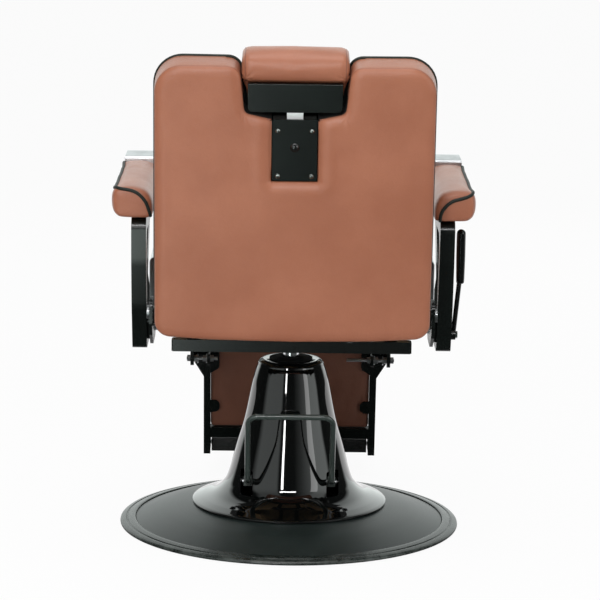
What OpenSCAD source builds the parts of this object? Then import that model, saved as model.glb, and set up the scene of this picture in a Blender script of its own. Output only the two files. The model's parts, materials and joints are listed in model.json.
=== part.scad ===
// Hydraulic barber chair with a pump bar, a swivel, a reclining back, a rising leg
// rest, a folding footrest and a sliding headrest, standing at its lowest height.
// X runs across the chair. Y runs from the footrest (-Y) to the back (+Y). Z is up,
// and the origin is on the floor under the column. Millimetres.

/* [Base] */
// Outside diameter of the base
base_d = 670; // [660:5:680]
// Height of the rim of the base
rim_h = 13.5; // [12:0.5:14]
// Outside diameter of the flange of the column cover
cover_flange_d = 384; // [370:2:390]
// Height of the top of the column cover
cover_top = 332; // [328:1:334]

/* [Pump] */
// Diameter of the ram that carries the seat
ram_d = 32; // [30:1:34]
// Outside diameter of the pump cylinder
cylinder_d = 84; // [80:1:88]
// Diameter of the rod of the pump bar
pump_rod_d = 11; // [10:0.5:12]
// Height of the pump bar's cross rod
pump_bar_z = 259; // [250:1:265]

/* [Seat] */
// Width of the rear cross bar
cross_bar_w = 454; // [450:2:458]
// Height of the underside of the frame
frame_z = 381; // [381:1:382]
// Side of the square frame tube
frame_t = 23; // [22:1:23]
// Width of the seat cushion
seat_w = 504; // [490:2:506]
// Height of the top of the seat cushion at its edge
seat_top = 526; // [515:1:535]

/* [Back] */
// Width of the backrest
back_w = 512; // [500:2:512]
// Lean of the backrest from upright
back_lean = 8.5; // [8:0.5:9]
// Height of the backrest above its hinge
back_h = 510; // [504:1:512]
// Width of the notch for the headrest at its floor
notch_w = 188; // [186:1:190]
// Width of the headrest roll
headrest_w = 194; // [190:1:195]

/* [Arms] */
// Width of an arm pad
pad_w = 80; // [76:1:80]
// Height of the underside of the arm pads
pad_z = 645; // [643:1:646]
// Thickness of an arm pad
pad_h = 60; // [56:1:62]

/* [Leg rest] */
// Width over the side bars of the leg rest
leg_w = 358; // [350:2:360]
// Lean of the leg rest from upright
leg_lean = 14; // [13:0.5:15]
// Length from the hinge to the bottom of the side bars
leg_len = 321; // [318:1:323]
// Depth of the footrest
footrest_d = 165; // [140:5:170]

/* [Hidden] */

$fn = 64;
eps = 0.01;                      // overlap of a cutter past the face it cuts
fit = 0.05;                      // radial clearance of a shaft in its bore
side_signs = [-1, 1];

leather = [0.67, 0.44, 0.33];
black_gloss = [0.03, 0.035, 0.035];
black_satin = [0.10, 0.11, 0.11];
steel = [0.62, 0.63, 0.64];
rubber = [0.06, 0.06, 0.06];
plywood = [0.72, 0.58, 0.40];

// base
base_r = base_d / 2;
dish_r = base_r - 31;
cover_r = cover_flange_d / 2;
flange_z = 45.3;                 // height of the underside of the cover's flange
plate_top = 17;
foot_top = plate_top + 10;
foot_bolt_r = 62;

// pump
ram_r = ram_d / 2;
cylinder_r = cylinder_d / 2;
bore_r = 26;
cylinder_top = cover_top - 14;
shaft_y = 54;
shaft_z = 95;
shaft_r = 7;
plunger_y = shaft_y + 22;
plunger_r = 8;
block_top = 88;
bar_x = 82;
bar_bend = [bar_x, 115, 112];
bar_corner = [bar_x, 205, pump_bar_z];
hub_reach = 16;                  // from the shaft to the face that carries the rod

// seat frame
frame_top = frame_z + frame_t;
rear_bar_y = 165;
front_bar_y = -232;
rail_x = 197;
inner_rail_x = 45;
wall = 2.5;
side_plate_x = 264;
side_plate_t = 6;
side_plate_out = side_plate_x + side_plate_t;
board_z = frame_top + 22;
board_t = 15;

// hinge of the back and its cranks
back_y = 205;
back_z = 460;
hinge_r = 8;
torque_tube_r = 11;
crank_x = 142;
crank_t = 6.5;
crank_pin_r = 5;
crank_pin = [back_y + 22, back_z - 35.8];
ear_x = 258;
ear_t = 4.5;

// parts of the backrest, measured back from the hinge line
board_front = 38.5;
board_back = 50.5;
panel_front = 51.5;
panel_back = 117;
notch_floor = 416;
notch_mouth_w = notch_w + 24;

// headrest slide, measured in the backrest's own frame
plate_bottom = 295;
plate_top_z = 411;
guide_half = 41;
guide_back = 104;
headrest_z = 421.5;              // height of the underside of the headrest plate
post_y = 90.3;
post_t = 7.9;
post_w = 30;
screw_x = 31;
screw_heights = [plate_bottom + 8.5, plate_top_z - 22];
lock_z = 358;                    // height of the screw that locks the post

// leg rest
leg_y = -262;
leg_z = 372;
leg_pin = [leg_y + 20.6, leg_z - 22.65];
leg_x = leg_w / 2;
bar_w = 14;
leg_bolt = [21, -94];             // measured in the leg rest's own frame
footrest_pivot = [-62, -329];    // measured in the leg rest's own frame
footrest_y = leg_y + footrest_pivot[0] * cos(leg_lean) + footrest_pivot[1] * sin(leg_lean);
footrest_z = leg_z - footrest_pivot[0] * sin(leg_lean) + footrest_pivot[1] * cos(leg_lean);

// arms
arm_in = 276.5;
arm_out = 304.5;
arm_foot = 382;                  // height of the foot of the arm frames
pad_in = 262;
pad_rear = 250;
pad_front = -130;

// recline lever
lever_y = 150;
lever_z = 413;
lever_rod_x = 310.5;
lever_grip_x = 321;

// strut that locks the back
strut_x = -110;
strut_front = [-190, 396];
strut_tilt = 3.53;

// ---------------------------------------------------------------- helpers

function unit(v) = v / norm(v);

// Points of the arc of radius r that rounds the corner b between a and c, in 2D or 3D.
function arc_points(a, b, c, r, n) =
    let (u = unit(a - b), v = unit(c - b), h = acos(u * v) / 2,
         o = b + unit(u + v) * (r / sin(h)),
         s = unit(b + u * (r / tan(h)) - o),
         e = b + v * (r / tan(h)) - o,
         w = unit(e - (e * s) * s),
         turn = 180 - 2 * h)
    [for (i = [0:n]) o + r * (cos(turn * i / n) * s + sin(turn * i / n) * w)];

// A closed outline with its corners rounded; radii has one value for each corner.
function rounded(pts, radii, n = 5) =
    let (m = len(pts))
    [for (i = [0:m - 1]) each (radii[i] <= 0 ? [pts[i]] :
        arc_points(pts[(i + m - 1) % m], pts[i], pts[(i + 1) % m], radii[i], n))];

// An open path with its inner corners rounded.
function rounded_path(pts, r, n = 6) =
    let (m = len(pts))
    [for (i = [0:m - 1]) each (i == 0 || i == m - 1 ? [pts[i]] :
        arc_points(pts[i - 1], pts[i], pts[i + 1], r, n))];

// A smooth curve through points, with n steps between each pair.
function spline(p, n) =
    let (m = len(p) - 1)
    [for (i = [0:m - 1], k = [0:n - 1])
        let (t = k / n, a = p[max(i - 1, 0)], b = p[i], c = p[i + 1], d = p[min(i + 2, m)])
        0.5 * (2 * b + t * (c - a) + t * t * (2 * a - 5 * b + 4 * c - d)
            + t * t * t * (3 * b - a - 3 * c + d)),
     p[m]];

function tangents(p) =
    [for (i = [0:len(p) - 1]) unit(p[min(i + 1, len(p) - 1)] - p[max(i - 1, 0)])];

// Normals carried along the tangents without twist.
function normals(t, i, n) =
    i == len(t) ? [] : let (m = unit(n - (n * t[i]) * t[i])) concat([m], normals(t, i + 1, m));

// Rings of equal length are joined into one closed solid.
module loft(rings) {
    n = len(rings[0]);
    m = len(rings);
    ones = [for (p = rings[0]) 1];
    ends = [for (r = [rings[0], rings[m - 1]]) [for (k = [0:2]) ([for (p = r) p[k]] * ones) / n]];
    pts = concat([for (r = rings) each r], ends);
    sides = [for (i = [0:m - 2], j = [0:n - 1])
        let (a = i * n + j, b = i * n + (j + 1) % n) each [[a, b, b + n], [a, b + n, a + n]]];
    start = [for (j = [0:n - 1]) [j, m * n, (j + 1) % n]];
    finish = [for (j = [0:n - 1]) [(m - 1) * n + j, (m - 1) * n + (j + 1) % n, m * n + 1]];
    polyhedron(points = pts, faces = concat(sides, start, finish), convexity = 8);
}

// A round rod swept along a path.
module rod(path, r, sides = 10, up = [1, 0.2, 0.1]) {
    t = tangents(path);
    n = normals(t, 0, up);
    loft([for (i = [0:len(path) - 1])
        [for (k = [0:sides - 1])
            path[i] + r * (cos(360 * k / sides) * n[i] + sin(360 * k / sides) * cross(n[i], t[i]))]]);
}

// Two grids of points, a near and a far face, are closed round their border. The side
// between them swells out by swell.
module skin(near, far, swell = 0) {
    m = len(near);
    n = len(near[0]);
    inner = function (i, j) [min(max(i, 1), m - 2), min(max(j, 1), n - 2)];
    border = concat([for (i = [0:m - 1]) [i, 0]], [for (j = [1:n - 1]) [m - 1, j]],
        [for (i = [m - 2:-1:0]) [i, n - 1]],
        [for (j = [n - 2:-1:1]) [0, j]]);
    middle = [for (b = border)
        let (q = inner(b[0], b[1]), mid = (near[b[0]][b[1]] + far[b[0]][b[1]]) / 2,
             inside = (near[q[0]][q[1]] + far[q[0]][q[1]]) / 2)
        mid + unit(mid - inside) * swell];
    pts = concat([for (r = near) each r], [for (r = far) each r], middle);
    k = m * n;
    nb = len(border);
    id = function (i, j) i * n + j;
    top = [for (i = [0:m - 2], j = [0:n - 2]) each
        [[id(i, j), id(i, j + 1), id(i + 1, j + 1)], [id(i, j), id(i + 1, j + 1), id(i + 1, j)]]];
    bottom = [for (f = top) [f[2] + k, f[1] + k, f[0] + k]];
    edge = [for (a = [0:nb - 1])
        let (b = (a + 1) % nb, na = id(border[a][0], border[a][1]), nbx = id(border[b][0], border[b][1]),
             ma = 2 * k + a, mb = 2 * k + b)
        each [[na, nbx, mb], [na, mb, ma], [ma, mb, nbx + k], [ma, nbx + k, na + k]]];
    polyhedron(points = pts, faces = concat(top, bottom, edge), convexity = 8);
}

// 0 at an edge, rising round to 1 at distance r from it.
function round_off(d, r) = let (t = 1 - min(max(d, 0) / r, 1)) sqrt(1 - t * t);
function smooth(t) = let (c = min(max(t, 0), 1)) c * c * (3 - 2 * c);

// A place on a rounded rectangle for u and v from -1 to 1.
function pad_point(u, v, hw, hd, rc) =
    let (x = hw * sin(90 * u), y = hd * sin(90 * v),
         a = (abs(x) - hw + rc) / rc, b = (abs(y) - hd + rc) / rc)
    a > 0 && b > 0
        ? [sign(x) * (hw - rc + rc * a * sqrt(1 - b * b / 2)),
           sign(y) * (hd - rc + rc * b * sqrt(1 - a * a / 2))]
        : [x, y];

// A crowned cushion lying on z = 0, centred in X and Y.
module cushion(w, d, h, corner, edge, crown, swell, steps) {
    hw = w / 2;
    hd = d / 2;
    grid = function (upper) [for (i = [0:steps]) [for (j = [0:steps])
        let (p = pad_point(2 * i / steps - 1, 2 * j / steps - 1, hw, hd, corner),
             e = round_off(hw - abs(p[0]), edge) * round_off(hd - abs(p[1]), edge),
             c = (1 - pow(p[0] / hw, 2)) * (1 - pow(p[1] / hd, 2)))
        [p[0], p[1], upper ? h - edge * (1 - e) + crown * c : edge / 3 * (1 - e)]]];
    skin(grid(true), grid(false), swell);
}

// A flat plate: an outline in Y and Z, from x for thickness t.
module side_plate_shape(pts, x, t) {
    translate([x, 0, 0])
        rotate([90, 0, 90])
            linear_extrude(t)
                polygon(pts);
}

module both_sides() {
    children();
    mirror([1, 0, 0])
        children();
}

module x_pin(y, z, r, x0, x1) {
    translate([x0, y, z])
        rotate([0, 90, 0])
            cylinder(h = x1 - x0, r = r);
}

module box(lo, hi) {
    translate(lo)
        cube(hi - lo);
}

// A square tube from lo to hi, open at the two ends of the given axis.
module tube_bar(lo, hi, axis) {
    grow = [for (k = [0:2]) k == axis ? eps : -wall];
    difference() {
        box(lo, hi);
        box(lo - grow, hi + grow);
    }
}

module in_back() {
    translate([0, back_y, back_z])
        rotate([-back_lean, 0, 0])
            children();
}

module in_leg() {
    translate([0, leg_y, leg_z])
        rotate([-leg_lean, 0, 0])
            children();
}

module hex_head(r, h) {
    cylinder(h = h, r = r, $fn = 6);
}

// ---------------------------------------------------------------- base

module floor_ring() {
    color(rubber)
        rotate_extrude($fn = 96)
            polygon([[264, 0], [291, 0], [292, 1], [292, 5], [263, 5], [263, 1]]);
}

module base_plate() {
    color(black_satin)
        difference() {
            rotate_extrude($fn = 96)
                polygon([[0, 5], [292, 5], [292, 9], [266, 9], [262, plate_top], [0, plate_top]]);
            for (a = [45:90:315])
                rotate(a)
                    translate([foot_bolt_r, 0, 4])
                        cylinder(h = 20, r = 5, $fn = 24);
        }
}

// A shallow dish that rises from the rim to the flange of the column cover.
module base_dish() {
    sheet = 2.5;
    upper = spline([[96, 48.8], [150, 47.4], [cover_r - 6, 44.4], [230, 35.5], [262, 26], [288, 17],
        [dish_r, 11]], 4);
    last = len(upper) - 1;
    lower = [for (i = [last:-1:0]) [upper[i][0] - (i == last ? sheet : 0), upper[i][1] - sheet]];
    color(black_satin)
        rotate_extrude($fn = 96)
            polygon(concat(upper, [[dish_r, 6.2], [dish_r - sheet, 6.2]], lower));
}

module rim_ring() {
    color(black_satin)
        rotate_extrude($fn = 96)
            polygon([[296, 1.5], [base_r - 2, 1.5], [base_r - 0.5, 2.4], [base_r, 4], [base_r - 0.6, 6.5],
                [base_r - 3, 8.6], [base_r - 8, 10.2], [base_r - 24, rim_h - 0.3], [base_r - 28, rim_h],
                [base_r - 30, rim_h - 0.8], [base_r - 30.6, rim_h - 2.5], [base_r - 30.6, 6], [296, 6]]);
}

// Outer outline of the bell-shaped cover, from the flange to the hole at the top.
function cover_outline() = concat(
    [for (p = [[-1.5, 0], [0, 1.2], [0, 3.2], [-1.5, 4.8]]) [cover_r + p[0], flange_z + p[1]]],
    spline([[cover_r - 18, 56], [150, 65], [132, 81], [121, 102], [104, 164], [90, 214], [76, 285],
        [69.5, 311], [66, 321]], 4),
    arc_points([66, 310], [61, cover_top], [40, cover_top], 9, 5),
    [[40, cover_top]]);

module column_cover() {
    thickness = 2.2;
    outer = cover_outline();
    t = tangents(outer);
    inner = [for (i = [len(outer) - 1:-1:0])
        [outer[i][0] - thickness * (i < 3 ? 4 : abs(t[i][1])),
         max(outer[i][1] - thickness * abs(t[i][0]), flange_z)]];
    color(black_gloss)
        difference() {
            rotate_extrude($fn = 96)
                polygon(concat(outer, inner));
            for (s = side_signs)
                translate([s * (bar_x + 2) - 12, 60, 78])
                    cube([24, 75, 46]);
        }
}

module column_cap() {
    color(rubber)
        rotate_extrude()
            polygon([[ram_r + 0.8, cover_top - 3], [39.7, cover_top - 3], [39.7, cover_top + 0.1],
                [43, cover_top + 0.1], [42, cover_top + 3], [24, cover_top + 5], [ram_r + 0.8, cover_top + 5]]);
}

// ---------------------------------------------------------------- pump

module pump_cylinder() {
    color(black_satin)
        difference() {
            union() {
                translate([0, 0, plate_top])
                    cylinder(h = cylinder_top - plate_top, r = cylinder_r);
                translate([0, 0, plate_top])
                    cylinder(h = foot_top - plate_top, r = 78);
            }
            translate([0, 0, 34])
                cylinder(h = cylinder_top, r = bore_r);
            for (a = [45:90:315])
                rotate(a)
                    translate([foot_bolt_r, 0, plate_top - 1])
                        cylinder(h = 20, r = 5, $fn = 24);
        }
}

module pump_gland() {
    color(steel)
        difference() {
            translate([0, 0, cylinder_top])
                hex_head(38, 9);
            translate([0, 0, cylinder_top - 1])
                cylinder(h = 12, r = ram_r + fit);
        }
}

module pump_block() {
    color(black_satin)
        difference() {
            union() {
                box([-22, 0, 40], [22, 92, block_top]);
                for (s = side_signs)
                    box([s * 18 - 4, 45, block_top - 1], [s * 18 + 4, 63, 106]);
            }
            translate([0, 0, 30])
                cylinder(h = 100, r = cylinder_r);
            translate([0, plunger_y, 52])
                cylinder(h = 60, r = plunger_r + fit);
            x_pin(shaft_y, shaft_z, shaft_r + fit, -30, 30);
            box([-14, 40, 80], [14, 68, block_top + 1]);
        }
}

module pump_foot_bolts() {
    color(steel)
        for (a = [45:90:315])
            rotate(a)
                translate([foot_bolt_r, 0, 0]) {
                    translate([0, 0, 8])
                        cylinder(h = foot_top - 8, r = 5, $fn = 24);
                    translate([0, 0, foot_top])
                        hex_head(9, 7);
                }
}

// The bar: two arms bent up and back, joined by the cross rod that the foot presses.
module pump_bar() {
    arm = [shaft_y, shaft_z] + hub_reach * unit([bar_bend[1] - shaft_y, bar_bend[2] - shaft_z]);
    half = [[bar_x, arm[0], arm[1]], bar_bend, bar_corner];
    other = [for (i = [2:-1:0]) [-half[i][0], half[i][1], half[i][2]]];
    color(black_gloss)
        rod(rounded_path(concat(half, other), 17, 6), pump_rod_d / 2, 10, [0.1, -0.3, 1]);
}

module pump_bar_hubs() {
    turn = atan2(bar_bend[2] - shaft_z, bar_bend[1] - shaft_y);
    color(steel)
        for (s = side_signs)
            translate([s * bar_x, shaft_y, shaft_z])
                rotate([turn, 0, 0])
                    difference() {
                        box([-8, -12, -10], [8, hub_reach, 10]);
                        x_pin(0, 0, shaft_r, -9, 9);
                    }
}

module pump_shaft() {
    color(steel)
        x_pin(shaft_y, shaft_z, shaft_r, -bar_x - 11, bar_x + 11);
}

// The nose presses the plunger down as the bar goes down.
module pump_rocker() {
    color(steel)
        difference() {
            union() {
                x_pin(shaft_y, shaft_z, 12, -11, 11);
                side_plate_shape([[shaft_y, 84], [shaft_y + 4, 86], [plunger_y - 6, 100], [plunger_y + 2, 108],
                    [shaft_y, 107]], -9, 18);
                x_pin(plunger_y, shaft_z + 8, 6, -9, 9);
            }
            x_pin(shaft_y, shaft_z, shaft_r, -20, 20);
        }
}

module pump_plunger() {
    color(steel)
        translate([0, plunger_y, 62])
            cylinder(h = 34.6, r = plunger_r);
}

module ram() {
    color(steel)
        translate([0, 0, 60])
            cylinder(h = frame_z - 2 - 60, r = ram_r);
}

module ram_piston() {
    color(steel)
        difference() {
            translate([0, 0, 62])
                cylinder(h = 24, r = bore_r - fit);
            translate([0, 0, 61])
                cylinder(h = 26, r = ram_r);
        }
}

// ---------------------------------------------------------------- seat

module swivel_socket() {
    hole_xy = [57, 60];
    color(black_satin)
        difference() {
            union() {
                translate([0, 0, cover_top + 16])
                    cylinder(h = frame_z - cover_top - 15, r = 28);
                box([-85, -85, frame_z], [85, 85, frame_z + 8]);
            }
            translate([0, 0, cover_top])
                cylinder(h = frame_z - 2 - cover_top, r = ram_r + fit);
            for (x = side_signs, y = side_signs)
                translate([x * hole_xy[0], y * hole_xy[1], frame_z - 1])
                    cylinder(h = 12, r = 5, $fn = 24);
        }
}

module socket_bolts() {
    color(steel)
        for (x = side_signs, y = side_signs)
            translate([x * 57, y * 60, 0]) {
                translate([0, 0, frame_z - 6])
                    hex_head(9, 6);
                translate([0, 0, frame_z - 1])
                    cylinder(h = frame_t + 4, r = 5, $fn = 24);
                translate([0, 0, frame_top])
                    hex_head(9, 5);
            }
}

// Cross bars, side rails and the two inner rails that the socket is bolted to.
module seat_frame() {
    half = cross_bar_w / 2;
    color(black_satin)
        difference() {
            union() {
                tube_bar([-half, rear_bar_y, frame_z], [half, rear_bar_y + frame_t, frame_top], 0);
                tube_bar([-half + 4, front_bar_y, frame_z], [half - 4, front_bar_y + frame_t, frame_top], 0);
                for (s = side_signs) {
                    x = s * (rail_x + frame_t / 2);
                    tube_bar([x - frame_t / 2, front_bar_y + frame_t, frame_z],
                        [x + frame_t / 2, rear_bar_y, frame_top], 1);
                    xi = s * (inner_rail_x + 12);
                    tube_bar([xi - 12, front_bar_y + frame_t, frame_z + 8],
                        [xi + 12, rear_bar_y, frame_top], 1);
                }
            }
            for (x = side_signs, y = side_signs)
                translate([x * 57, y * 60, frame_z])
                    cylinder(h = frame_t + 2, r = 5, $fn = 24);
        }
}

module frame_caps() {
    half = cross_bar_w / 2;
    color(rubber)
        both_sides()
            union() {
                box([half - 12, rear_bar_y + wall, frame_z + wall],
                    [half + 1, rear_bar_y + frame_t - wall, frame_top - wall]);
                box([half, rear_bar_y + 0.5, frame_z + 0.5],
                    [half + 2, rear_bar_y + frame_t - 0.5, frame_top - 0.5]);
            }
}

module board_spacers() {
    color(rubber)
        for (x = side_signs, y = [-190, -60, 60, 130])
            translate([x * 190, y, frame_top])
                cylinder(h = board_z - frame_top, r = 12, $fn = 32);
}

module seat_board() {
    color(plywood)
        difference() {
            box([-240, -236, board_z], [240, 174, board_z + board_t]);
            for (x = side_signs, y = [-190, -60, 60, 130])
                translate([x * 190, y, board_z - 1])
                    cylinder(h = board_t + 2, r = 4, $fn = 16);
        }
}

module seat_cushion() {
    front = -268;
    rear = 183;
    z = board_z + board_t + 0.5;
    color(leather)
        translate([0, (front + rear) / 2, z])
            cushion(seat_w - 6, rear - front - 6, seat_top - z, 40, 26, 12, 3, 16);
}

// A vertical plate beside the seat with a flange turned in over the frame rail.
module side_plates() {
    outline = rounded([[-160, 404.5], [60, 404.5], [88, 392], [172, 392], [216, 418], [236, 440], [234, 486],
        [196, 490], [150, 462], [-130, 452], [-160, 440]],
        [6, 20, 6, 20, 14, 14, 14, 14, 24, 14, 14]);
    color(black_satin)
        both_sides()
            difference() {
                union() {
                    side_plate_shape(outline, side_plate_x, side_plate_t);
                    box([rail_x + 7, -150, frame_top + 0.5], [side_plate_x + 0.5, 60, frame_top + 5]);
                }
                x_pin(back_y, back_z, hinge_r, 250, 280);
                for (p = [[105, 414], [150, 430]])
                    x_pin(p[0], p[1], 5, 250, 280);
            }
}

// Polished side panels outside the side plates, with a rounded nose to the outside.
module side_trims() {
    profile = rounded([[side_plate_out, 430], [283, 430], [283, 520], [side_plate_out, 520]], [2, 11, 11, 2]);
    color(steel)
        both_sides()
            translate([0, -65, 0])
                rotate([90, 0, 0])
                    linear_extrude(160)
                        polygon(profile);
}

module back_pivot_pins() {
    color(steel)
        both_sides()
            union() {
                x_pin(back_y, back_z, hinge_r, 232, side_plate_x + side_plate_t);
                x_pin(back_y, back_z, 13, side_plate_x + side_plate_t, 275.5);
            }
}

module leg_brackets() {
    outline = rounded([[front_bar_y, 404], [front_bar_y, 360], [-272, 354], [-280, 372], [-262, 392]],
        [0, 6, 12, 14, 12]);
    color(black_satin)
        both_sides()
            difference() {
                side_plate_shape(outline, 208, 6);
                x_pin(leg_y, leg_z, 6, 200, 220);
            }
}

module leg_pivot_bolts() {
    color(steel)
        both_sides()
            union() {
                x_pin(leg_y, leg_z, 6, 193, 214);
                translate([214, leg_y, leg_z])
                    rotate([0, 90, 0])
                        hex_head(10, 6);
            }
}

// A closed loop of flat bar: foot, curved rear leg, top rail and a slimmer slanted front leg.
module arm_loop() {
    outer = rounded([[72, arm_foot], [168, arm_foot], [206, 470], [228, 560], [236, pad_z],
        [-128, pad_z], [-120, 604]],
        [10, 16, 120, 120, 22, 10, 40]);
    window = rounded([[112, 432], [142, 428], [172, 486], [194, 566], [198, 616], [-66, 616], [-62, 606]],
        [12, 14, 90, 90, 14, 4, 10]);
    difference() {
        side_plate_shape(outer, arm_in, arm_out - arm_in);
        side_plate_shape(window, arm_in - 1, arm_out - arm_in + 2);
        translate([0, 0, 396])
            linear_extrude(215)
                polygon([[arm_in - 1, 84], [arm_in, 60], [284, 24], [284, -140], [arm_in - 1, -140]]);
        for (p = [[105, 414], [150, 430]])
            x_pin(p[0], p[1], 5, 270, 320);
    }
}

module arm_frame_left() {
    color(black_satin)
        arm_loop();
}

module arm_frame_right() {
    color(black_satin)
        mirror([1, 0, 0])
            difference() {
                arm_loop();
                x_pin(lever_y, lever_z, 6, 290, 320);
            }
}

// Packing plates between the side plates and the feet of the arm frames.
module arm_bars() {
    outline = rounded([[84, 398], [164, 398], [180, 436], [176, 462], [140, 462], [84, 432]],
        [8, 16, 14, 10, 10, 10]);
    color(black_satin)
        both_sides()
            difference() {
                side_plate_shape(outline, side_plate_out + 0.2, arm_in - side_plate_out - 0.4);
                for (p = [[105, 414], [150, 430]])
                    x_pin(p[0], p[1], 5, side_plate_out - 1, arm_in + 1);
            }
}

module arm_bolts() {
    color(steel)
        both_sides()
            for (p = [[105, 414], [150, 430]]) {
                x_pin(p[0], p[1], 5, 258, arm_out);
                translate([259, p[0], p[1]])
                    rotate([0, 90, 0])
                        hex_head(8.5, 5);
            }
}

// The outline of a pad across its width: a flat foot, a full outer side, a crowned top
// and an inner side that rolls down.
function pad_section(w, h) = spline([for (p = [[0.10, 0], [0.86, 0], [0.965, 0.12], [1, 0.42], [0.99, 0.78],
    [0.93, 0.93], [0.72, 1], [0.42, 0.985], [0.16, 0.86], [0.02, 0.56], [0, 0.26], [0.04, 0.06]])
    [w * p[0], h * p[1]]], 2);

module arm_pad() {
    steps = 16;
    sect = pad_section(pad_w, pad_h);
    mid = [pad_w / 2, pad_h * 0.45];
    rings = [for (i = [0:steps])
        let (u = sin(90 * (2 * i / steps - 1)),
             y = (pad_rear + pad_front) / 2 + u * (pad_rear - pad_front) / 2,
             e = 0.72 + 0.28 * round_off(min(pad_rear - y, y - pad_front), 24))
        [for (p = sect) let (q = mid + (p - mid) * e) [pad_in + q[0], y, pad_z + 0.3 + max(q[1], 0)]]];
    color(leather)
        loft(rings);
}

module arm_pad_left() {
    arm_pad();
}

module arm_pad_right() {
    mirror([1, 0, 0])
        arm_pad();
}

// Polished noses that close the front ends of the arms.
module arm_caps() {
    rear = pad_front - 0.5;
    outline = rounded([[rear, 712], [-170, 718], [-222, 712], [-234, 688], [-220, 655], [-180, 636],
        [rear, 636]],
        [6, 40, 16, 24, 16, 30, 0]);
    profile = rounded([[268, 630], [336, 630], [336, 722], [268, 722]], [0, 0, 14, 0]);
    color(steel)
        both_sides()
            difference() {
                intersection() {
                    side_plate_shape(outline, 266, 72);
                    translate([0, -120, 0])
                        rotate([90, 0, 0])
                            linear_extrude(130)
                                polygon(profile);
                }
                box([arm_in - 1, -140, 630], [arm_out + 1, -120, pad_z + 0.5]);
            }
}

module lever_bolt() {
    color(steel)
        union() {
            x_pin(lever_y, lever_z, 6, -315, -290);
            translate([-318, lever_y, lever_z])
                rotate([0, 90, 0])
                    hex_head(7, 3.7);
        }
}

// ---------------------------------------------------------------- lock and linkage

module strut_cylinder() {
    color(black_satin)
        translate([strut_x, strut_front[0], strut_front[1]])
            rotate([strut_tilt, 0, 0])
                difference() {
                    union() {
                        translate([0, 8, 0])
                            rotate([-90, 0, 0])
                                cylinder(h = 252, r = 10);
                        x_pin(0, 0, 10, -8, 8);
                        box([-8, -18.3, -9], [8, 0, 9]);
                    }
                    translate([0, 40, 0])
                        rotate([-90, 0, 0])
                            cylinder(h = 260, r = 4 + fit);
                }
}

module strut_rod() {
    reach = norm(crank_pin - strut_front);
    color(steel)
        translate([strut_x, strut_front[0], strut_front[1]])
            rotate([strut_tilt, 0, 0])
                difference() {
                    union() {
                        translate([0, 160, 0])
                            rotate([-90, 0, 0])
                                cylinder(h = reach - 169, r = 4);
                        x_pin(reach, 0, 12, -5, 5);
                    }
                    x_pin(reach, 0, crank_pin_r + 3.2, -6, 6);
                }
}

module recline_lever() {
    path = [[-lever_rod_x, lever_y, lever_z + 8], [2 - lever_grip_x, lever_y, 512.5]];
    color(black_gloss)
        union() {
            difference() {
                x_pin(lever_y, lever_z, 10, -314, -arm_out - 0.4);
                x_pin(lever_y, lever_z, 6 + fit, -320, -arm_out + 1);
            }
            rod(path, 4.7, 12, [0, 1, 0]);
        }
}

module lever_grip() {
    r = 8.7;
    color(black_gloss)
        translate([-lever_grip_x, lever_y, 0])
            rotate_extrude($fn = 32)
                polygon(concat([[0, 513], [6, 513], [7.5, 515], [8, 525], [r, 565]],
                    [for (a = [0:15:90]) [r * cos(a), 609.3 + r * sin(a)]]));
}

// Push rods from the cranks of the back to the cranks of the leg rest. The front eye is
// wide, because it is the one open pivot of the linkage.
module link_rods() {
    a = crank_pin;
    b = leg_pin;
    u = unit(b - a);
    n = [-u[1], u[0]];
    color(steel)
        both_sides()
            difference() {
                union() {
                    x_pin(a[0], a[1], 10, 149.5, 155.5);
                    x_pin(b[0], b[1], 12, 149.5, 155.5);
                    side_plate_shape([a + 5 * n, a - 5 * n, b - 5 * n, b + 5 * n], 149.5, 6);
                }
                x_pin(a[0], a[1], crank_pin_r + fit, 140, 160);
                x_pin(b[0], b[1], crank_pin_r + 2.4, 140, 160);
            }
}

// ---------------------------------------------------------------- back

// Torque tube with ears at its ends, crank levers below and two uprights behind the board.
module back_frame() {
    ear = rounded([[-20, -16], [14, -20], [34, 0], [44, 24], [30, 37], [-8, 36], [-24, 8]],
        [14, 14, 16, 8, 8, 14, 16]);
    to_back = function (p) [back_y + p[0] * cos(back_lean) + p[1] * sin(back_lean),
        back_z - p[0] * sin(back_lean) + p[1] * cos(back_lean)];
    crank = rounded([[back_y - 8, back_z], [back_y + 6, back_z - 4], crank_pin + [11, 2], crank_pin + [6, -10],
        crank_pin + [-8, -8]], [3, 3, 8, 6, 6]);
    color(black_satin)
        difference() {
            union() {
                x_pin(back_y, back_z, torque_tube_r, -ear_x - 0.5, ear_x + 0.5);
                both_sides()
                    union() {
                        side_plate_shape([for (p = ear) to_back(p)], ear_x, ear_t);
                        side_plate_shape(crank, crank_x, crank_t);
                        x_pin(crank_pin[0], crank_pin[1], crank_pin_r, crank_x + 1, 158);
                    }
                side_plate_shape(crank, strut_x - 12.5, 5);
                x_pin(crank_pin[0], crank_pin[1], crank_pin_r, strut_x - 11, strut_x + 7);
                in_back()
                    both_sides()
                        union() {
                            box([165, 0, -6], [190, 57, -0.5]);
                            box([165, 52, -2], [190, 57, 285]);
                        }
            }
            both_sides()
                x_pin(back_y, back_z, hinge_r + fit, 228, 280);
        }
}

// Height of the top edge of the back at x, with the notch and rounded corners.
function back_top(x, h, corner) =
    let (a = abs(x), edge = back_w / 2 - a)
    notch_floor + (h - corner * (1 - round_off(edge, corner)) - notch_floor)
        * smooth((a - notch_w / 2) / ((notch_mouth_w - notch_w) / 2));

function back_bottom(x, z, corner) =
    z + 8 * pow(2 * x / back_w, 2) + corner * (1 - round_off(back_w / 2 - abs(x), corner));

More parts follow.
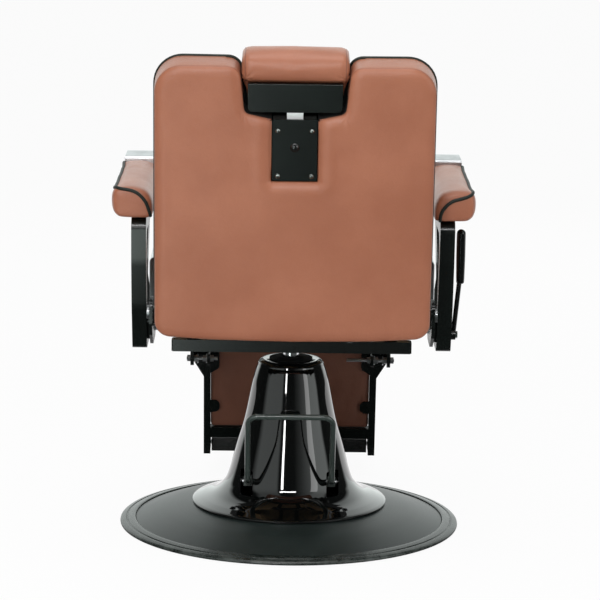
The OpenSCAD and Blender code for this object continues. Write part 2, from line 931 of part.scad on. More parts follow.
// Columns across the back, closer at the outer edge and at the notch.
function back_columns() =
    let (w = back_w / 2, n = notch_w / 2, m = notch_mouth_w / 2,
         half = concat([w, w - 1.2, w - 5, w - 12, w - 22, w - 38, w - 70, w - 105],
            [m + 22, m + 8, m + 1, m - 3, (n + m) / 2, n + 3.5, n, n - 8, n - 22, 47, 20]))
    concat([for (x = half) -x], [0], [for (i = [len(half) - 1:-1:0]) half[i]]);

// A shape of the back's outline, between two depths. depth is measured at the border,
// and each face stands out from there by its own edge and crown.
module back_slab(near, far, top, bottom, inset, near_edge, far_edge, near_crown, far_crown, swell) {
    rows = 11;
    xs = back_columns();
    shrink = 1 - 2 * inset / back_w;
    grid = function (y, edge, crown, out) [for (x = xs) [for (j = [0:rows])
        let (v = 0.5 - 0.5 * cos(180 * j / rows),
             lo = back_bottom(x, bottom, 30),
             hi = back_top(x, top, 46) - inset,
             z = lo + inset + (hi - lo - inset) * v,
             e = round_off(back_w / 2 - abs(x), edge) * round_off(z - lo - inset, edge)
                 * round_off(hi - z, edge),
             c = (1 - pow(2 * x / back_w, 2)) * sin(180 * v))
        [x * shrink, y + out * (edge * e + crown * c), z]]];
    skin(grid(near, near_edge, near_crown, -1), grid(far, far_edge, far_crown, 1), swell);
}

// Half the width of the headrest at height z.
function headrest_half(z) = 85 + (headrest_w / 2 - 85) * smooth((z - headrest_z - 20) / 45);

// The board stands out into the notch and closes the gap round the headrest.
module back_board() {
    half = back_w / 2 - 12.5;
    gap = 2.2;
    liner = [for (dz = [-3, 20, 42, 62]) [headrest_half(headrest_z + dz) + gap, headrest_z + dz]];
    shoulder = [for (x = back_columns()) if (x > notch_mouth_w / 2 && x < half) [x, back_top(x, back_h, 46) - 10]];
    right = concat(liner, shoulder, [[half, 440], [half, 16]]);
    color(black_satin)
        in_back()
            translate([0, board_back, 0])
                rotate([90, 0, 0])
                    linear_extrude(board_back - board_front)
                        polygon(concat(right, [for (i = [len(right) - 1:-1:0]) [-right[i][0], right[i][1]]]));
}

module back_cushion() {
    color(leather)
        in_back()
            back_slab(10, board_front - 1, back_h - 3, 18, 4, 24, 0.1, 12, 0, 2.5);
}

module rear_panel() {
    color(leather)
        in_back()
            difference() {
                back_slab(panel_front, panel_back - 16, back_h, -18, 2, 0.1, 16, 0, 5, 2);
                box([-guide_half - 1.5, panel_front - 5, plate_bottom - 2],
                    [guide_half + 1.5, panel_back + 20, notch_floor + 20]);
                both_sides()
                    box([162, panel_front - 5, -30], [193, panel_front + 6, 290]);
            }
}

module headrest_guide() {
    color(black_satin)
        in_back()
            difference() {
                box([1 - guide_half, board_back + 0.5, plate_bottom + 1],
                    [guide_half - 1, guide_back, plate_top_z - 1]);
                box([-post_w / 2 - 0.3, post_y - 0.3, plate_bottom],
                    [post_w / 2 + 0.3, post_y + post_t + 0.3, plate_top_z]);
                for (x = side_signs, z = screw_heights)
                    translate([x * screw_x, 80, z])
                        rotate([-90, 0, 0])
                            cylinder(h = 40, r = 2.5, $fn = 24);
                translate([0, 90, lock_z])
                    rotate([-90, 0, 0])
                        cylinder(h = 30, r = 4, $fn = 24);
            }
}

module guide_cover() {
    outline = rounded([[-guide_half, plate_bottom], [guide_half, plate_bottom], [guide_half, plate_top_z],
        [-guide_half, plate_top_z]], [4, 4, 2, 2]);
    color(black_satin)
        in_back()
            difference() {
                translate([0, guide_back + 3, 0])
                    rotate([90, 0, 0])
                        linear_extrude(3)
                            polygon(outline);
                for (x = side_signs, z = screw_heights)
                    translate([x * screw_x, 90, z])
                        rotate([-90, 0, 0])
                            cylinder(h = 30, r = 2.5, $fn = 24);
                translate([0, 90, lock_z])
                    rotate([-90, 0, 0])
                        cylinder(h = 30, r = 4, $fn = 24);
            }
}

module guide_cover_screws() {
    color(steel)
        in_back()
            for (x = side_signs, z = screw_heights)
                translate([x * screw_x, 0, z])
                    rotate([-90, 0, 0]) {
                        translate([0, 0, 84])
                            cylinder(h = guide_back + 3 - 84, r = 2.5, $fn = 24);
                        translate([0, 0, guide_back + 3])
                            cylinder(h = 2.2, r1 = 4.6, r2 = 3.2, $fn = 24);
                    }
}

module headrest_screw() {
    color(black_gloss)
        in_back()
            translate([0, 0, lock_z])
                rotate([-90, 0, 0]) {
                    translate([0, 0, post_y + post_t + 0.3])
                        cylinder(h = guide_back + 3 - post_y - post_t - 0.3, r = 4, $fn = 24);
                    translate([0, 0, guide_back + 3])
                        cylinder(h = 5, r1 = 8.5, r2 = 7, $fn = 32);
                }
}

module headrest_post() {
    color(steel)
        in_back()
            box([-post_w / 2, post_y, plate_bottom + 10], [post_w / 2, post_y + post_t, headrest_z]);
}

module headrest_plate() {
    half = 87;
    height = 54;
    outline = rounded([[-half, 0], [half, 0], [half, height], [-half, height]], [10, 10, 2, 2]);
    color(black_satin)
        in_back()
            translate([0, 99, headrest_z])
                rotate([90, 0, 0])
                    linear_extrude(15)
                        polygon(outline);
}

// The outline of the headrest from the side: a thick roll above, a thinner part below it.
function headrest_section() = spline([for (p = [[83, 2], [83, 27], [83, 54], [92, 56.5], [101, 64], [104.5, 83],
    [98, 100], [78, 109], [45, 110], [18, 103], [4, 81], [0, 50], [4, 18], [20, 4], [50, 1], [83, 2]])
    [p[0], headrest_z + p[1]]], 2);

module headrest_cushion() {
    steps = 14;
    sect = headrest_section();
    mid = [52, headrest_z + 58];
    rings = [for (i = [0:steps])
        let (u = sin(90 * (2 * i / steps - 1)), e = 0.80 + 0.20 * round_off((1 - abs(u)) * 98, 15))
        [for (k = [0:len(sect) - 2])
            let (q = mid + (sect[k] - mid) * e)
            [-u * headrest_half(q[1]), min(q[0], q[1] < headrest_z + 54 ? 83 : 105), q[1]]]];
    color(leather)
        in_back()
            loft(rings);
}

// ---------------------------------------------------------------- leg rest

module leg_rest_frame() {
    inner = leg_x - bar_w;
    side_bar = [[205, -60], [205, -96], [leg_x, -141], [leg_x, -leg_len], [inner, -leg_len], [inner, -84],
        [176, -60]];
    crank = rounded([[leg_y - 7, leg_z + 3], [leg_y + 7, leg_z + 4], leg_pin + [10, 3], leg_pin + [5, -9],
        leg_pin + [-8, -7]], [3, 3, 7, 6, 6]);
    ear = rounded([[-14, 14], [14, 14], [31, -82], [31, -106], [12, -114], [-6, -80]], [12, 12, 8, 8, 6, 8]);
    lug = rounded([[8, -82], [31, -82], [31, -106], [8, -112]], [0, 7, 7, 0]);
    end_plate = rounded([[-8, -300], [8, -304], [8, -leg_len + 2], [-70, -341], [-72, -317]],
        [0, 0, 6, 10, 10]);
    upper_tab = rounded([[inner + 1, -84], [147, -84], [147, -122], [inner + 1, -134]], [0, 4, 10, 0]);
    lower_tab = rounded([[inner + 1, -196], [146, -196], [146, -222], [inner + 1, -224]], [0, 11, 11, 0]);
    color(black_satin)
        difference() {
            union() {
                x_pin(leg_y, leg_z, 9.5, -199.5, 199.5);
                both_sides()
                    union() {
                        side_plate_shape(crank, crank_x, crank_t);
                        x_pin(leg_pin[0], leg_pin[1], crank_pin_r, crank_x + 1, 158);
                    }
                in_leg()
                    both_sides()
                        union() {
                            side_plate_shape(ear, 199, 7);
                            translate([0, 10, 0])
                                rotate([90, 0, 0])
                                    linear_extrude(20)
                                        polygon(side_bar);
                            side_plate_shape(lug, inner + 0.4, 6);
                            side_plate_shape(end_plate, inner + 0.5, 6);
                            for (tab = [upper_tab, lower_tab])
                                translate([0, 9.4, 0])
                                    rotate([90, 0, 0])
                                        linear_extrude(3)
                                            polygon(tab);
                        }
                in_leg()
                    box([-inner - 1, -9, -283], [inner + 1, 9, -260]);
            }
            both_sides()
                x_pin(leg_y, leg_z, 6 + fit, 190, 210);
            in_leg()
                both_sides()
                    union() {
                        x_pin(footrest_pivot[0], footrest_pivot[1], 5, inner - 2, inner + 8);
                        x_pin(leg_bolt[0], leg_bolt[1], 3.5, inner - 2, 210);
                    }
        }
}

module leg_rest_board() {
    half = leg_x - bar_w - 0.3;
    color(leather)
        in_leg()
            box([-half, -6, -259], [half, 6, -16]);
}

module leg_rest_pad() {
    half = leg_x - bar_w - 2.5;
    color(leather)
        in_leg()
            translate([0, -6.5, -138])
                rotate([90, 0, 0])
                    cushion(2 * half - 4, 237, 40, 18, 16, 8, 2, 12);
}

module leg_frame_bolts() {
    nuts = [158.2, 174, 192, 206.1];
    washers = [171.8, 189.7];
    color(steel)
        in_leg()
            translate([0, leg_bolt[0], leg_bolt[1]]) {
                x_pin(0, 0, 3.5, 150, 214);
                x_pin(0, 0, 3.5, -214, -116);
                both_sides() {
                    for (x = nuts)
                        translate([x, 0, 0])
                            rotate([0, 90, 0])
                                hex_head(7.5, 6.8);
                    for (x = washers)
                        x_pin(0, 0, 10, x, x + 2);
                }
            }
}

// ---------------------------------------------------------------- footrest

module footrest() {
    half = leg_x - bar_w - 1;
    rear = footrest_y + 10;
    front = footrest_y - footrest_d;
    low = footrest_z - 18;
    high = footrest_z + 11;
    color(black_satin)
        difference() {
            box([-half, front, low], [half, rear, high]);
            box([-half + 4, front + 4, low - 1], [half - 4, rear - 22, high - 4]);
            both_sides()
                x_pin(footrest_y, footrest_z, 5 + fit, half - 16, half + 1);
        }
}

module footrest_tread() {
    half = leg_x - bar_w - 12;
    z = footrest_z + 11;
    front = footrest_y - footrest_d;
    pitch = 16;
    color(rubber)
        union() {
            box([-half, front + 10, z], [half, footrest_y - 4, z + 2.5]);
            for (y = [front + 14:pitch:footrest_y - 20])
                box([-half, y, z + 2], [half, y + pitch / 2, z + 4.5]);
        }
}

module footrest_pins() {
    color(steel)
        both_sides()
            x_pin(footrest_y, footrest_z, 5, leg_x - bar_w - 15, leg_x - bar_w + 8);
}

floor_ring();
base_plate();
base_dish();
rim_ring();
column_cover();
column_cap();
pump_cylinder();
pump_gland();
pump_block();
pump_foot_bolts();
pump_bar();
pump_bar_hubs();
pump_shaft();
pump_rocker();
pump_plunger();
ram();
ram_piston();
swivel_socket();
socket_bolts();
seat_frame();
frame_caps();
board_spacers();
seat_board();
seat_cushion();
side_plates();
side_trims();
back_pivot_pins();
leg_brackets();
leg_pivot_bolts();
arm_frame_left();
arm_frame_right();
arm_bars();
arm_bolts();
arm_pad_left();
arm_pad_right();
arm_caps();
lever_bolt();
strut_cylinder();
strut_rod();
recline_lever();
lever_grip();
link_rods();
back_frame();
back_board();
back_cushion();
rear_panel();
headrest_guide();
guide_cover();
guide_cover_screws();
headrest_screw();
headrest_post();
headrest_plate();
headrest_cushion();
leg_rest_frame();
leg_rest_board();
leg_rest_pad();
leg_frame_bolts();
footrest();
footrest_tread();
footrest_pins();
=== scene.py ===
import json
import math

import bmesh
import bpy
import numpy as np
from mathutils import Matrix, Vector, noise
from mathutils.bvhtree import BVHTree

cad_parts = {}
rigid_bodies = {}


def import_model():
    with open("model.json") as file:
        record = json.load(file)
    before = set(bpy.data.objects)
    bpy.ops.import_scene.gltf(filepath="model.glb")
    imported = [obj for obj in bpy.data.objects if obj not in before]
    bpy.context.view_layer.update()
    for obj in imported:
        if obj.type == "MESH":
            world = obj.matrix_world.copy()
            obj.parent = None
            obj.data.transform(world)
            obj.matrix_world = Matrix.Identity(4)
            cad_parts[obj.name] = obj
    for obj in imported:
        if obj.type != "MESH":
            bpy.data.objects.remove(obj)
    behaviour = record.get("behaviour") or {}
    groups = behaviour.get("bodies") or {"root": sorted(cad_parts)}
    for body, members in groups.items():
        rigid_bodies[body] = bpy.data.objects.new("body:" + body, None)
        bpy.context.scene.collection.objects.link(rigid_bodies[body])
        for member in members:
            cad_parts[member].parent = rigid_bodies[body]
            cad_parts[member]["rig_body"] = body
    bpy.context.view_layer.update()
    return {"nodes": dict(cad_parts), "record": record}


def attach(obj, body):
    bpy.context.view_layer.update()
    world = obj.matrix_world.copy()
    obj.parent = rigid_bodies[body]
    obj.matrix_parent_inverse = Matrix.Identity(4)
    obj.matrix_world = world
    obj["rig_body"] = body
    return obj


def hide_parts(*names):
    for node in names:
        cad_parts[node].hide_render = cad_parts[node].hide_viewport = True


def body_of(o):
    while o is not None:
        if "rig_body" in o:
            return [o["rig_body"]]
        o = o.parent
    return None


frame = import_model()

scene = bpy.context.scene
nodes = frame["nodes"]
slotOfNode = {part["node"]: part["material_slot"] for part in frame["record"]["subparts"]}
mm = 0.001


# wiring of shader and geometry trees

class Value:  # a socket that takes part in sums
    def __init__(self, graph, socket):
        self.graph, self.socket = graph, socket

    def math(self, operation, other=None, flip=False, clamp=False):
        pair = [other, self] if flip else [self, other]
        return self.graph.add("ShaderNodeMath", {"operation": operation, "use_clamp": clamp},
                              {i: v for i, v in enumerate(pair) if v is not None})

    def __add__(self, other): return self.math("ADD", other)
    def __radd__(self, other): return self.math("ADD", other, True)
    def __sub__(self, other): return self.math("SUBTRACT", other)
    def __rsub__(self, other): return self.math("SUBTRACT", other, True)
    def __mul__(self, other): return self.math("MULTIPLY", other)
    def __rmul__(self, other): return self.math("MULTIPLY", other, True)
    def __pow__(self, other): return self.math("POWER", other)

    def clamped(self): return self.math("ADD", 0.0, clamp=True)

    def ramp(self, low, high, toLow=0.0, toHigh=1.0):  # smooth step from low to high
        return self.graph.add("ShaderNodeMapRange", {"interpolation_type": "SMOOTHSTEP"},
                              {0: self, 1: low, 2: high, 3: toLow, 4: toHigh})


class Graph:  # adds nodes to a tree and links them
    def __init__(self, tree):
        self.tree = tree

    def add(self, kind, settings=None, inputs=None, out=0):
        node = self.tree.nodes.new(kind)
        for key, value in (settings or {}).items():
            if key == "stops":
                elements = node.color_ramp.elements
                elements.remove(elements[1])
                elements[0].position, elements[0].color = value[0]
                for place, colour in value[1:]:
                    elements.new(place).color = colour
            else:
                setattr(node, key, value)
        for key, value in (inputs or {}).items():
            self.feed(node.inputs[key], value)
        return Value(self, node.outputs[out])

    def feed(self, socket, value):
        if isinstance(value, Value):
            self.tree.links.new(value.socket, socket)
        else:
            socket.default_value = value

    def other(self, value, out):  # another output of the same node
        return Value(self, value.socket.node.outputs[out])


def rgb(r, g, b):  # a linear colour from display values of 0 to 255
    return tuple(((c / 255 + 0.055) / 1.055) ** 2.4 if c > 10.3 else c / 255 / 12.92 for c in (r, g, b)) + (1.0,)


class Finish(Graph):  # a material under construction
    def __init__(self, name, **fixed):
        self.material = bpy.data.materials.new(name)
        self.material.use_nodes = True
        super().__init__(self.material.node_tree)
        self.tree.nodes.clear()
        self.surface = self.tree.nodes.new("ShaderNodeBsdfPrincipled")
        self.result = self.tree.nodes.new("ShaderNodeOutputMaterial")
        self.tree.links.new(self.surface.outputs[0], self.result.inputs[0])
        for key, value in fixed.items():
            words = {"colour": "Base Color", "coat": "Coat Weight", "coatRough": "Coat Roughness",
                     "specular": "Specular IOR Level", "sheen": "Sheen Weight", "sheenRough": "Sheen Roughness"}
            self.surface.inputs[words.get(key, key.capitalize())].default_value = value
        self.place = self.add("ShaderNodeTexCoord", out="Object")

    def put(self, socket, value):
        self.feed(self.surface.inputs[socket], value)

    def noise(self, scale, detail=3.0, rough=0.5, distortion=0.0, place=None):
        return self.add("ShaderNodeTexNoise", None, {"Vector": place or self.place, "Scale": scale, "Detail": detail,
                                                     "Roughness": rough, "Distortion": distortion})

    def cells(self, scale, feature="F1", out="Distance", place=None, randomness=1.0):
        return self.add("ShaderNodeTexVoronoi", {"feature": feature},
                        {"Vector": place or self.place, "Scale": scale, "Randomness": randomness}, out)

    def stretched(self, x, y, z):
        return self.add("ShaderNodeMapping", None, {"Vector": self.place, "Scale": (x, y, z)})

    def axis(self, which):
        return self.add("ShaderNodeSeparateXYZ", None, {0: self.place}, which)

    def mixed(self, factor, first, second):
        return self.add("ShaderNodeMix", {"data_type": "RGBA"}, {0: factor, 6: first, 7: second}, 2)

    def bump(self, height, depth, strength=1.0, under=None):
        inputs = {"Height": height, "Distance": depth, "Strength": strength}
        if under is not None:
            inputs["Normal"] = under
        return self.add("ShaderNodeBump", None, inputs)


leather = {"shade": (156, 98, 73), "dark": (140, 84, 60), "light": (168, 109, 83), "grain": 950, "grainDepth": 0.00008,
           "creaseDepth": 0.00035, "rough": 0.30, "sheen": 0.01}


def leatherFinish(name, look):
    f = Finish(name, specular=0.42, sheen=look["sheen"], sheenRough=0.5)
    tone = f.noise(5.5, 4, 0.55)
    cloud = f.noise(28, 3, 0.5)
    colour = f.mixed(tone.ramp(0.30, 0.72), rgb(*look["dark"]), rgb(*look["light"]))
    colour = f.mixed(0.55, colour, rgb(*look["shade"]))
    speckle = f.cells(look["grain"] * 0.9)
    colour = f.mixed(speckle.ramp(0.35, 0.75) * 0.10, colour, rgb(*[c * 0.62 for c in look["shade"]]))
    f.put("Base Color", colour)
    pores = f.cells(look["grain"], "DISTANCE_TO_EDGE")
    grain = pores.ramp(0.0, 0.22)
    crease = f.noise(75, 5, 0.62, 0.8).ramp(0.36, 0.66)
    f.put("Roughness", look["rough"] + cloud * 0.10 - grain * 0.05 + tone * 0.04)
    soft = f.bump(crease, look["creaseDepth"], 0.35)
    f.put("Normal", f.bump(grain, look["grainDepth"], 0.55, soft))
    return f.material


def blackPaint(name, colour, rough, texture, depth, coat=0.0, smudge=0.06, specular=0.5):
    f = Finish(name, specular=specular, coat=coat, coatRough=0.03)
    dust = f.noise(9, 5, 0.6)
    fine = f.noise(texture, 3, 0.55)
    f.put("Base Color", f.mixed(dust.ramp(0.42, 0.78) * 0.35, rgb(*colour), rgb(*[c * 1.55 + 5 for c in colour])))
    f.put("Roughness", rough + dust * smudge + fine * 0.04)
    f.put("Normal", f.bump(fine, depth, 0.5))
    return f.material


def glossEnamel(name):
    f = Finish(name, colour=rgb(5, 6, 6), specular=0.55, coat=0.7, coatRough=0.015)
    sag = f.noise(7.5, 2, 0.4)
    fine = f.noise(240, 2, 0.5)
    dust = f.cells(420).ramp(0.02, 0.09, 1.0, 0.0) * f.noise(16, 2).ramp(0.55, 0.7)
    f.put("Roughness", 0.035 + fine * 0.02 + dust * 0.25)
    f.put("Normal", f.bump(fine, 0.000012, 0.5, f.bump(sag, 0.0012, 0.25)))
    return f.material


def dishPaint(name, look):
    f = Finish(name, specular=0.5)
    x, y = f.axis("X"), f.axis("Y")
    radius = (x * x + y * y) ** 0.5
    rings = f.noise(1.0, 4, 0.6, place=f.add("ShaderNodeCombineXYZ", None, {0: radius * 260, 1: 0.0, 2: 0.0}))
    fine = f.noise(1300, 2, 0.5)
    smear = f.noise(6, 5, 0.62)
    wear = radius.ramp(look["wearFrom"], look["wearTo"]) * f.noise(34, 6, 0.7).ramp(0.36, 0.70)
    scratch = f.noise(1, 5, 0.7, place=f.stretched(60, 420, 60)).ramp(0.60, 0.68) * radius.ramp(0.26, 0.31)
    colour = f.mixed(smear.ramp(0.35, 0.75) * 0.5, rgb(*look["colour"]), rgb(*look["dusty"]))
    colour = f.mixed((wear * 0.8 + scratch * 0.35).clamped(), colour, rgb(*look["worn"]))
    f.put("Base Color", colour)
    f.put("Roughness", look["rough"] + smear * 0.10 + rings * 0.05 + wear * 0.10)
    f.put("Normal", f.bump(rings * 0.5 + fine * 0.5, 0.00005, 0.5))
    return f.material


def bareMetal(name, colour, rough, streak=(40, 40, 900), depth=0.00002, spots=0.0):
    f = Finish(name, metallic=1.0)
    line = f.noise(1, 3, 0.5, place=f.stretched(*streak))
    cloud = f.noise(18, 4, 0.6)
    tint = f.mixed(cloud.ramp(0.35, 0.7), rgb(*colour), rgb(*[c * 0.90 for c in colour]))
    if spots:
        stain = f.noise(120, 4, 0.7).ramp(0.60, 0.72) * spots
        tint = f.mixed(stain, tint, rgb(92, 84, 76))
    f.put("Base Color", tint)
    f.put("Roughness", rough + cloud * 0.08 + line * 0.05)
    f.put("Normal", f.bump(line, depth, 0.4))
    return f.material


def plyFinish(name):
    f = Finish(name, specular=0.3)
    grain = f.noise(1, 6, 0.65, 0.6, f.stretched(6, 60, 140))
    f.put("Base Color", f.mixed(grain.ramp(0.3, 0.7), rgb(176, 142, 100), rgb(214, 182, 138)))
    f.put("Roughness", 0.55 + grain * 0.2)
    f.put("Normal", f.bump(grain, 0.0001, 0.4))
    return f.material


def rubberFinish(name):
    f = Finish(name, specular=0.35)
    fine, dust = f.noise(800, 3, 0.6), f.noise(20, 5, 0.6)
    f.put("Base Color", f.mixed(dust.ramp(0.45, 0.8) * 0.4, rgb(16, 17, 17), rgb(44, 44, 42)))
    f.put("Roughness", 0.62 + dust * 0.15)
    f.put("Normal", f.bump(fine, 0.00006, 0.5))
    return f.material


finishes = {
    "tanLeather": leatherFinish("tanLeather", leather),
    "seamLeather": leatherFinish("seamLeather", {**leather, "shade": (124, 74, 55), "dark": (108, 62, 46),
                                                 "light": (136, 84, 62), "creaseDepth": 0.0001}),
    # painted shade: a darker copy of the tan leather for the back of the leg rest, which sits in the seat's shadow
    "legLeather": leatherFinish("legLeather", {**leather, "shade": (116, 74, 57), "dark": (98, 60, 46),
                                               "light": (128, 84, 66), "rough": 0.46}),
    "pipingVinyl": blackPaint("pipingVinyl", (30, 35, 31), 0.48, 700, 0.00005, specular=0.22),
    "backCloth": blackPaint("backCloth", (7, 8, 8), 0.8, 1600, 0.0001),
    "satinBlack": blackPaint("satinBlack", (8, 14, 12), 0.20, 1500, 0.00002, smudge=0.03),
    "glossBlack": glossEnamel("glossBlack"),
    "barGloss": blackPaint("barGloss", (9, 11, 11), 0.12, 900, 0.00001),
    # painted sheen: the bar's black paint lifted to grey for the highlight along the top of the foot bar; its hubs and
    # the lever bolt share it
    "barSatin": blackPaint("barSatin", (50, 58, 55), 0.17, 900, 0.00002, coat=0.6),
    "castBlack": blackPaint("castBlack", (24, 24, 24), 0.58, 260, 0.0002),
    "dishBlack": dishPaint("dishBlack", {"colour": (24, 31, 30), "dusty": (46, 56, 54), "worn": (92, 94, 90),
                                         "rough": 0.30, "wearFrom": 0.309, "wearTo": 0.334}),
    "rimBlack": dishPaint("rimBlack", {"colour": (17, 23, 21), "dusty": (38, 46, 44), "worn": (72, 78, 75),
                                       "rough": 0.18, "wearFrom": 0.300, "wearTo": 0.332}),
    "darkSteel": bareMetal("darkSteel", (150, 156, 153), 0.14),
    "postSteel": bareMetal("postSteel", (250, 251, 251), 0.50, (30, 300, 30), 0.00001),
    "zincSteel": bareMetal("zincSteel", (176, 178, 180), 0.26, spots=0.25),
    "chrome": bareMetal("chrome", (222, 223, 226), 0.05, (60, 60, 60), 0.000004),
    "polishedAlloy": bareMetal("polishedAlloy", (208, 210, 212), 0.28, (30, 300, 30), 0.00001),
    "birchPly": plyFinish("birchPly"),
    "blackRubber": rubberFinish("blackRubber"),
}
finishOfSlot = {"rubber_black": "blackRubber", "base_black": "dishBlack", "cover_gloss": "glossBlack",
                "pump_black": "castBlack", "bar_black": "barGloss", "frame_black": "satinBlack",
                "steel_plain": "zincSteel", "steel_chrome": "chrome", "alloy_polished": "polishedAlloy",
                "plywood": "birchPly", "upholstery_tan": "tanLeather"}
print("finishes:", len(finishes))


# meshes

def newPiece(name, verts, faces, finish, smooth=True, scale=mm):
    mesh = bpy.data.meshes.new(name)
    mesh.from_pydata([tuple(c * scale for c in v) for v in verts], [], faces)
    mesh.materials.append(finishes[finish])
    bm = bmesh.new()
    bm.from_mesh(mesh)
    bmesh.ops.remove_doubles(bm, verts=bm.verts, dist=1e-6)
    bmesh.ops.recalc_face_normals(bm, faces=bm.faces)
    for face in bm.faces:
        face.smooth = smooth
    bm.to_mesh(mesh)
    bm.free()
    piece = bpy.data.objects.new(name, mesh)
    scene.collection.objects.link(piece)
    return piece


def settle(piece):  # modifiers become part of the mesh
    graph = bpy.context.evaluated_depsgraph_get()
    mesh = bpy.data.meshes.new_from_object(piece.evaluated_get(graph))
    piece.modifiers.clear()
    old = piece.data
    piece.data = mesh
    mesh.name = piece.name
    bpy.data.meshes.remove(old)
    return piece


def modified(piece, kind, **settings):
    modifier = piece.modifiers.new(kind.lower(), kind)
    for key, value in settings.items():
        setattr(modifier, key, value)
    return modifier


def creased(piece, degrees=32):  # smooth shading that breaks at the sharp edges
    piece.data.shade_smooth()
    piece.data.set_sharp_from_angle(angle=math.radians(degrees))
    return piece


def joined(name, pieces):
    bm = bmesh.new()
    materials = []
    for piece in pieces:
        part = piece.data.copy()
        for face in part.polygons:
            material = piece.data.materials[face.material_index]
            if material not in materials:
                materials.append(material)
            face.material_index = materials.index(material)
        bm.from_mesh(part)
    mesh = bpy.data.meshes.new(name)
    bm.to_mesh(mesh)
    for material in materials:
        mesh.materials.append(material)
    for piece in pieces:
        bpy.data.objects.remove(piece)
    whole = bpy.data.objects.new(name, mesh)
    scene.collection.objects.link(whole)
    return whole


def catmull(points, steps):  # a smooth curve through points
    last = len(points) - 1
    out = []
    for i in range(last):
        a, b, c, d = (np.array(points[min(max(k, 0), last)], float) for k in (i - 1, i, i + 1, i + 2))
        for k in range(steps):
            t = k / steps
            out.append(0.5 * (2 * b + t * (c - a) + t * t * (2 * a - 5 * b + 4 * c - d)
                              + t ** 3 * (3 * b - a - 3 * c + d)))
    return out + [np.array(points[-1], float)]


def filleted(points, radii, steps=8, closed=True):  # corners rounded with arcs, in 2D or 3D
    points = [np.array(p, float) for p in points]
    out = []
    for i, b in enumerate(points):
        if not closed and i in (0, len(points) - 1) or radii[i] <= 0:
            out.append(b)
            continue
        a, c = points[i - 1], points[(i + 1) % len(points)]
        u, v = (a - b) / np.linalg.norm(a - b), (c - b) / np.linalg.norm(c - b)
        half = math.acos(max(-1, min(1, float(u @ v)))) / 2
        centre = b + (u + v) / np.linalg.norm(u + v) * radii[i] / math.sin(half)
        start = b + u * radii[i] / math.tan(half) - centre
        end = b + v * radii[i] / math.tan(half) - centre
        s = start / np.linalg.norm(start)
        w = end - (end @ s) * s
        w = w / np.linalg.norm(w)
        turn = math.pi - 2 * half
        out += [centre + radii[i] * (math.cos(turn * k / steps) * s + math.sin(turn * k / steps) * w)
                for k in range(steps + 1)]
    return out


def lathed(name, outline, finish, turns=160):  # a closed outline of radius and height, turned about Z
    verts, faces = [], []
    count = len(outline)
    for k in range(turns):
        a = 2 * math.pi * k / turns
        verts += [(r * math.cos(a), r * math.sin(a), z) for r, z in outline]
    for k in range(turns):
        for i in range(count):
            a, b = k * count + i, k * count + (i + 1) % count
            c, d = (k + 1) % turns * count + (i + 1) % count, (k + 1) % turns * count + i
            faces.append((a, b, c, d))
    return newPiece(name, verts, faces, finish)


def lofted(name, rings, finish):  # closed rings joined, with both ends capped
    count = len(rings[0])
    verts = [tuple(p) for ring in rings for p in ring]
    faces = [(i * count + j, i * count + (j + 1) % count, (i + 1) * count + (j + 1) % count, (i + 1) * count + j)
             for i in range(len(rings) - 1) for j in range(count)]
    for start in (0, (len(rings) - 1) * count):
        verts.append(tuple(np.mean([verts[start + j] for j in range(count)], axis=0)))
        faces += [(start + j, start + (j + 1) % count, len(verts) - 1) for j in range(count)]
    return newPiece(name, verts, faces, finish)


def leaning(origin, degrees):  # from a leaning part's own frame to the chair's
    c, s = math.cos(math.radians(degrees)), math.sin(math.radians(degrees))

    def place(p):
        return (p[0], origin[0] + p[1] * c + p[2] * s, origin[1] - p[1] * s + p[2] * c)
    return place


def upright(origin, c, s):  # from the chair's y and z to depth and height in a leaning part's frame
    def place(y, z):
        return (y - origin[0]) * c - (z - origin[1]) * s, (y - origin[0]) * s + (z - origin[1]) * c
    return place


def pressedTo(limit, origin, c, s):  # points past a depth of a leaning frame come back to it
    own = upright(origin, c, s)

    def change(p, n):
        over = max(0.0, own(p.y, p.z)[0] - limit)
        return (p.x, p.y - over * c, p.z + over * s)
    return change


backHinge, legHinge = (205, 460), (-262, 372)  # y and z where the leaning frames start
inBack = leaning(backHinge, 8.5)
inLeg = leaning(legHinge, 14)
backLean = math.radians(8.5)
backTilt = Matrix.Rotation(-backLean, 4, "X")
backTurn = (math.cos(backLean), math.sin(backLean))
legTurn = (0.9703, 0.2419)  # cosine and sine of the leg rest's lean
ownBack = upright(backHinge, *backTurn)
nearBack = upright(backHinge, 0.989, 0.1478)  # rounded, only to sort points by
nearLeg = upright(legHinge, *legTurn)


# geometry trees for what follows a path or repeats

def newTree(name, sockets):
    tree = bpy.data.node_groups.new(name, "GeometryNodeTree")
    tree.interface.new_socket(name="Geometry", in_out="OUTPUT", socket_type="NodeSocketGeometry")
    tree.interface.new_socket(name="Geometry", in_out="INPUT", socket_type="NodeSocketGeometry")
    for label, kind, value in sockets:
        socket = tree.interface.new_socket(name=label, in_out="INPUT", socket_type="NodeSocket" + kind)
        if value is not None:
            socket.default_value = value
    graph = Graph(tree)
    given = tree.nodes.new("NodeGroupInput")
    return graph, {s.name: Value(graph, s) for s in given.outputs}


def closeTree(graph, geometry, finish):
    real = graph.add("GeometryNodeRealizeInstances", None, {0: geometry})
    soft = graph.add("GeometryNodeSetShadeSmooth", None, {0: real, 2: True})
    painted = graph.add("GeometryNodeSetMaterial", None, {0: soft, 2: finish})
    graph.feed(graph.tree.nodes.new("NodeGroupOutput").inputs[0], painted)
    return graph.tree


def cordTree():  # a round cord along the edges of a mesh
    graph, given = newTree("cordAlongPath", [("Radius", "Float", 0.003), ("Sides", "Int", 12),
                                             ("Finish", "Material", None)])
    path = graph.add("GeometryNodeMeshToCurve", None, {0: given["Geometry"]})
    circle = graph.add("GeometryNodeCurvePrimitiveCircle", None,
                       {"Resolution": given["Sides"], "Radius": given["Radius"]})
    tube = graph.add("GeometryNodeCurveToMesh", None, {0: path, 1: circle, "Fill Caps": True})
    return closeTree(graph, tube, given["Finish"])


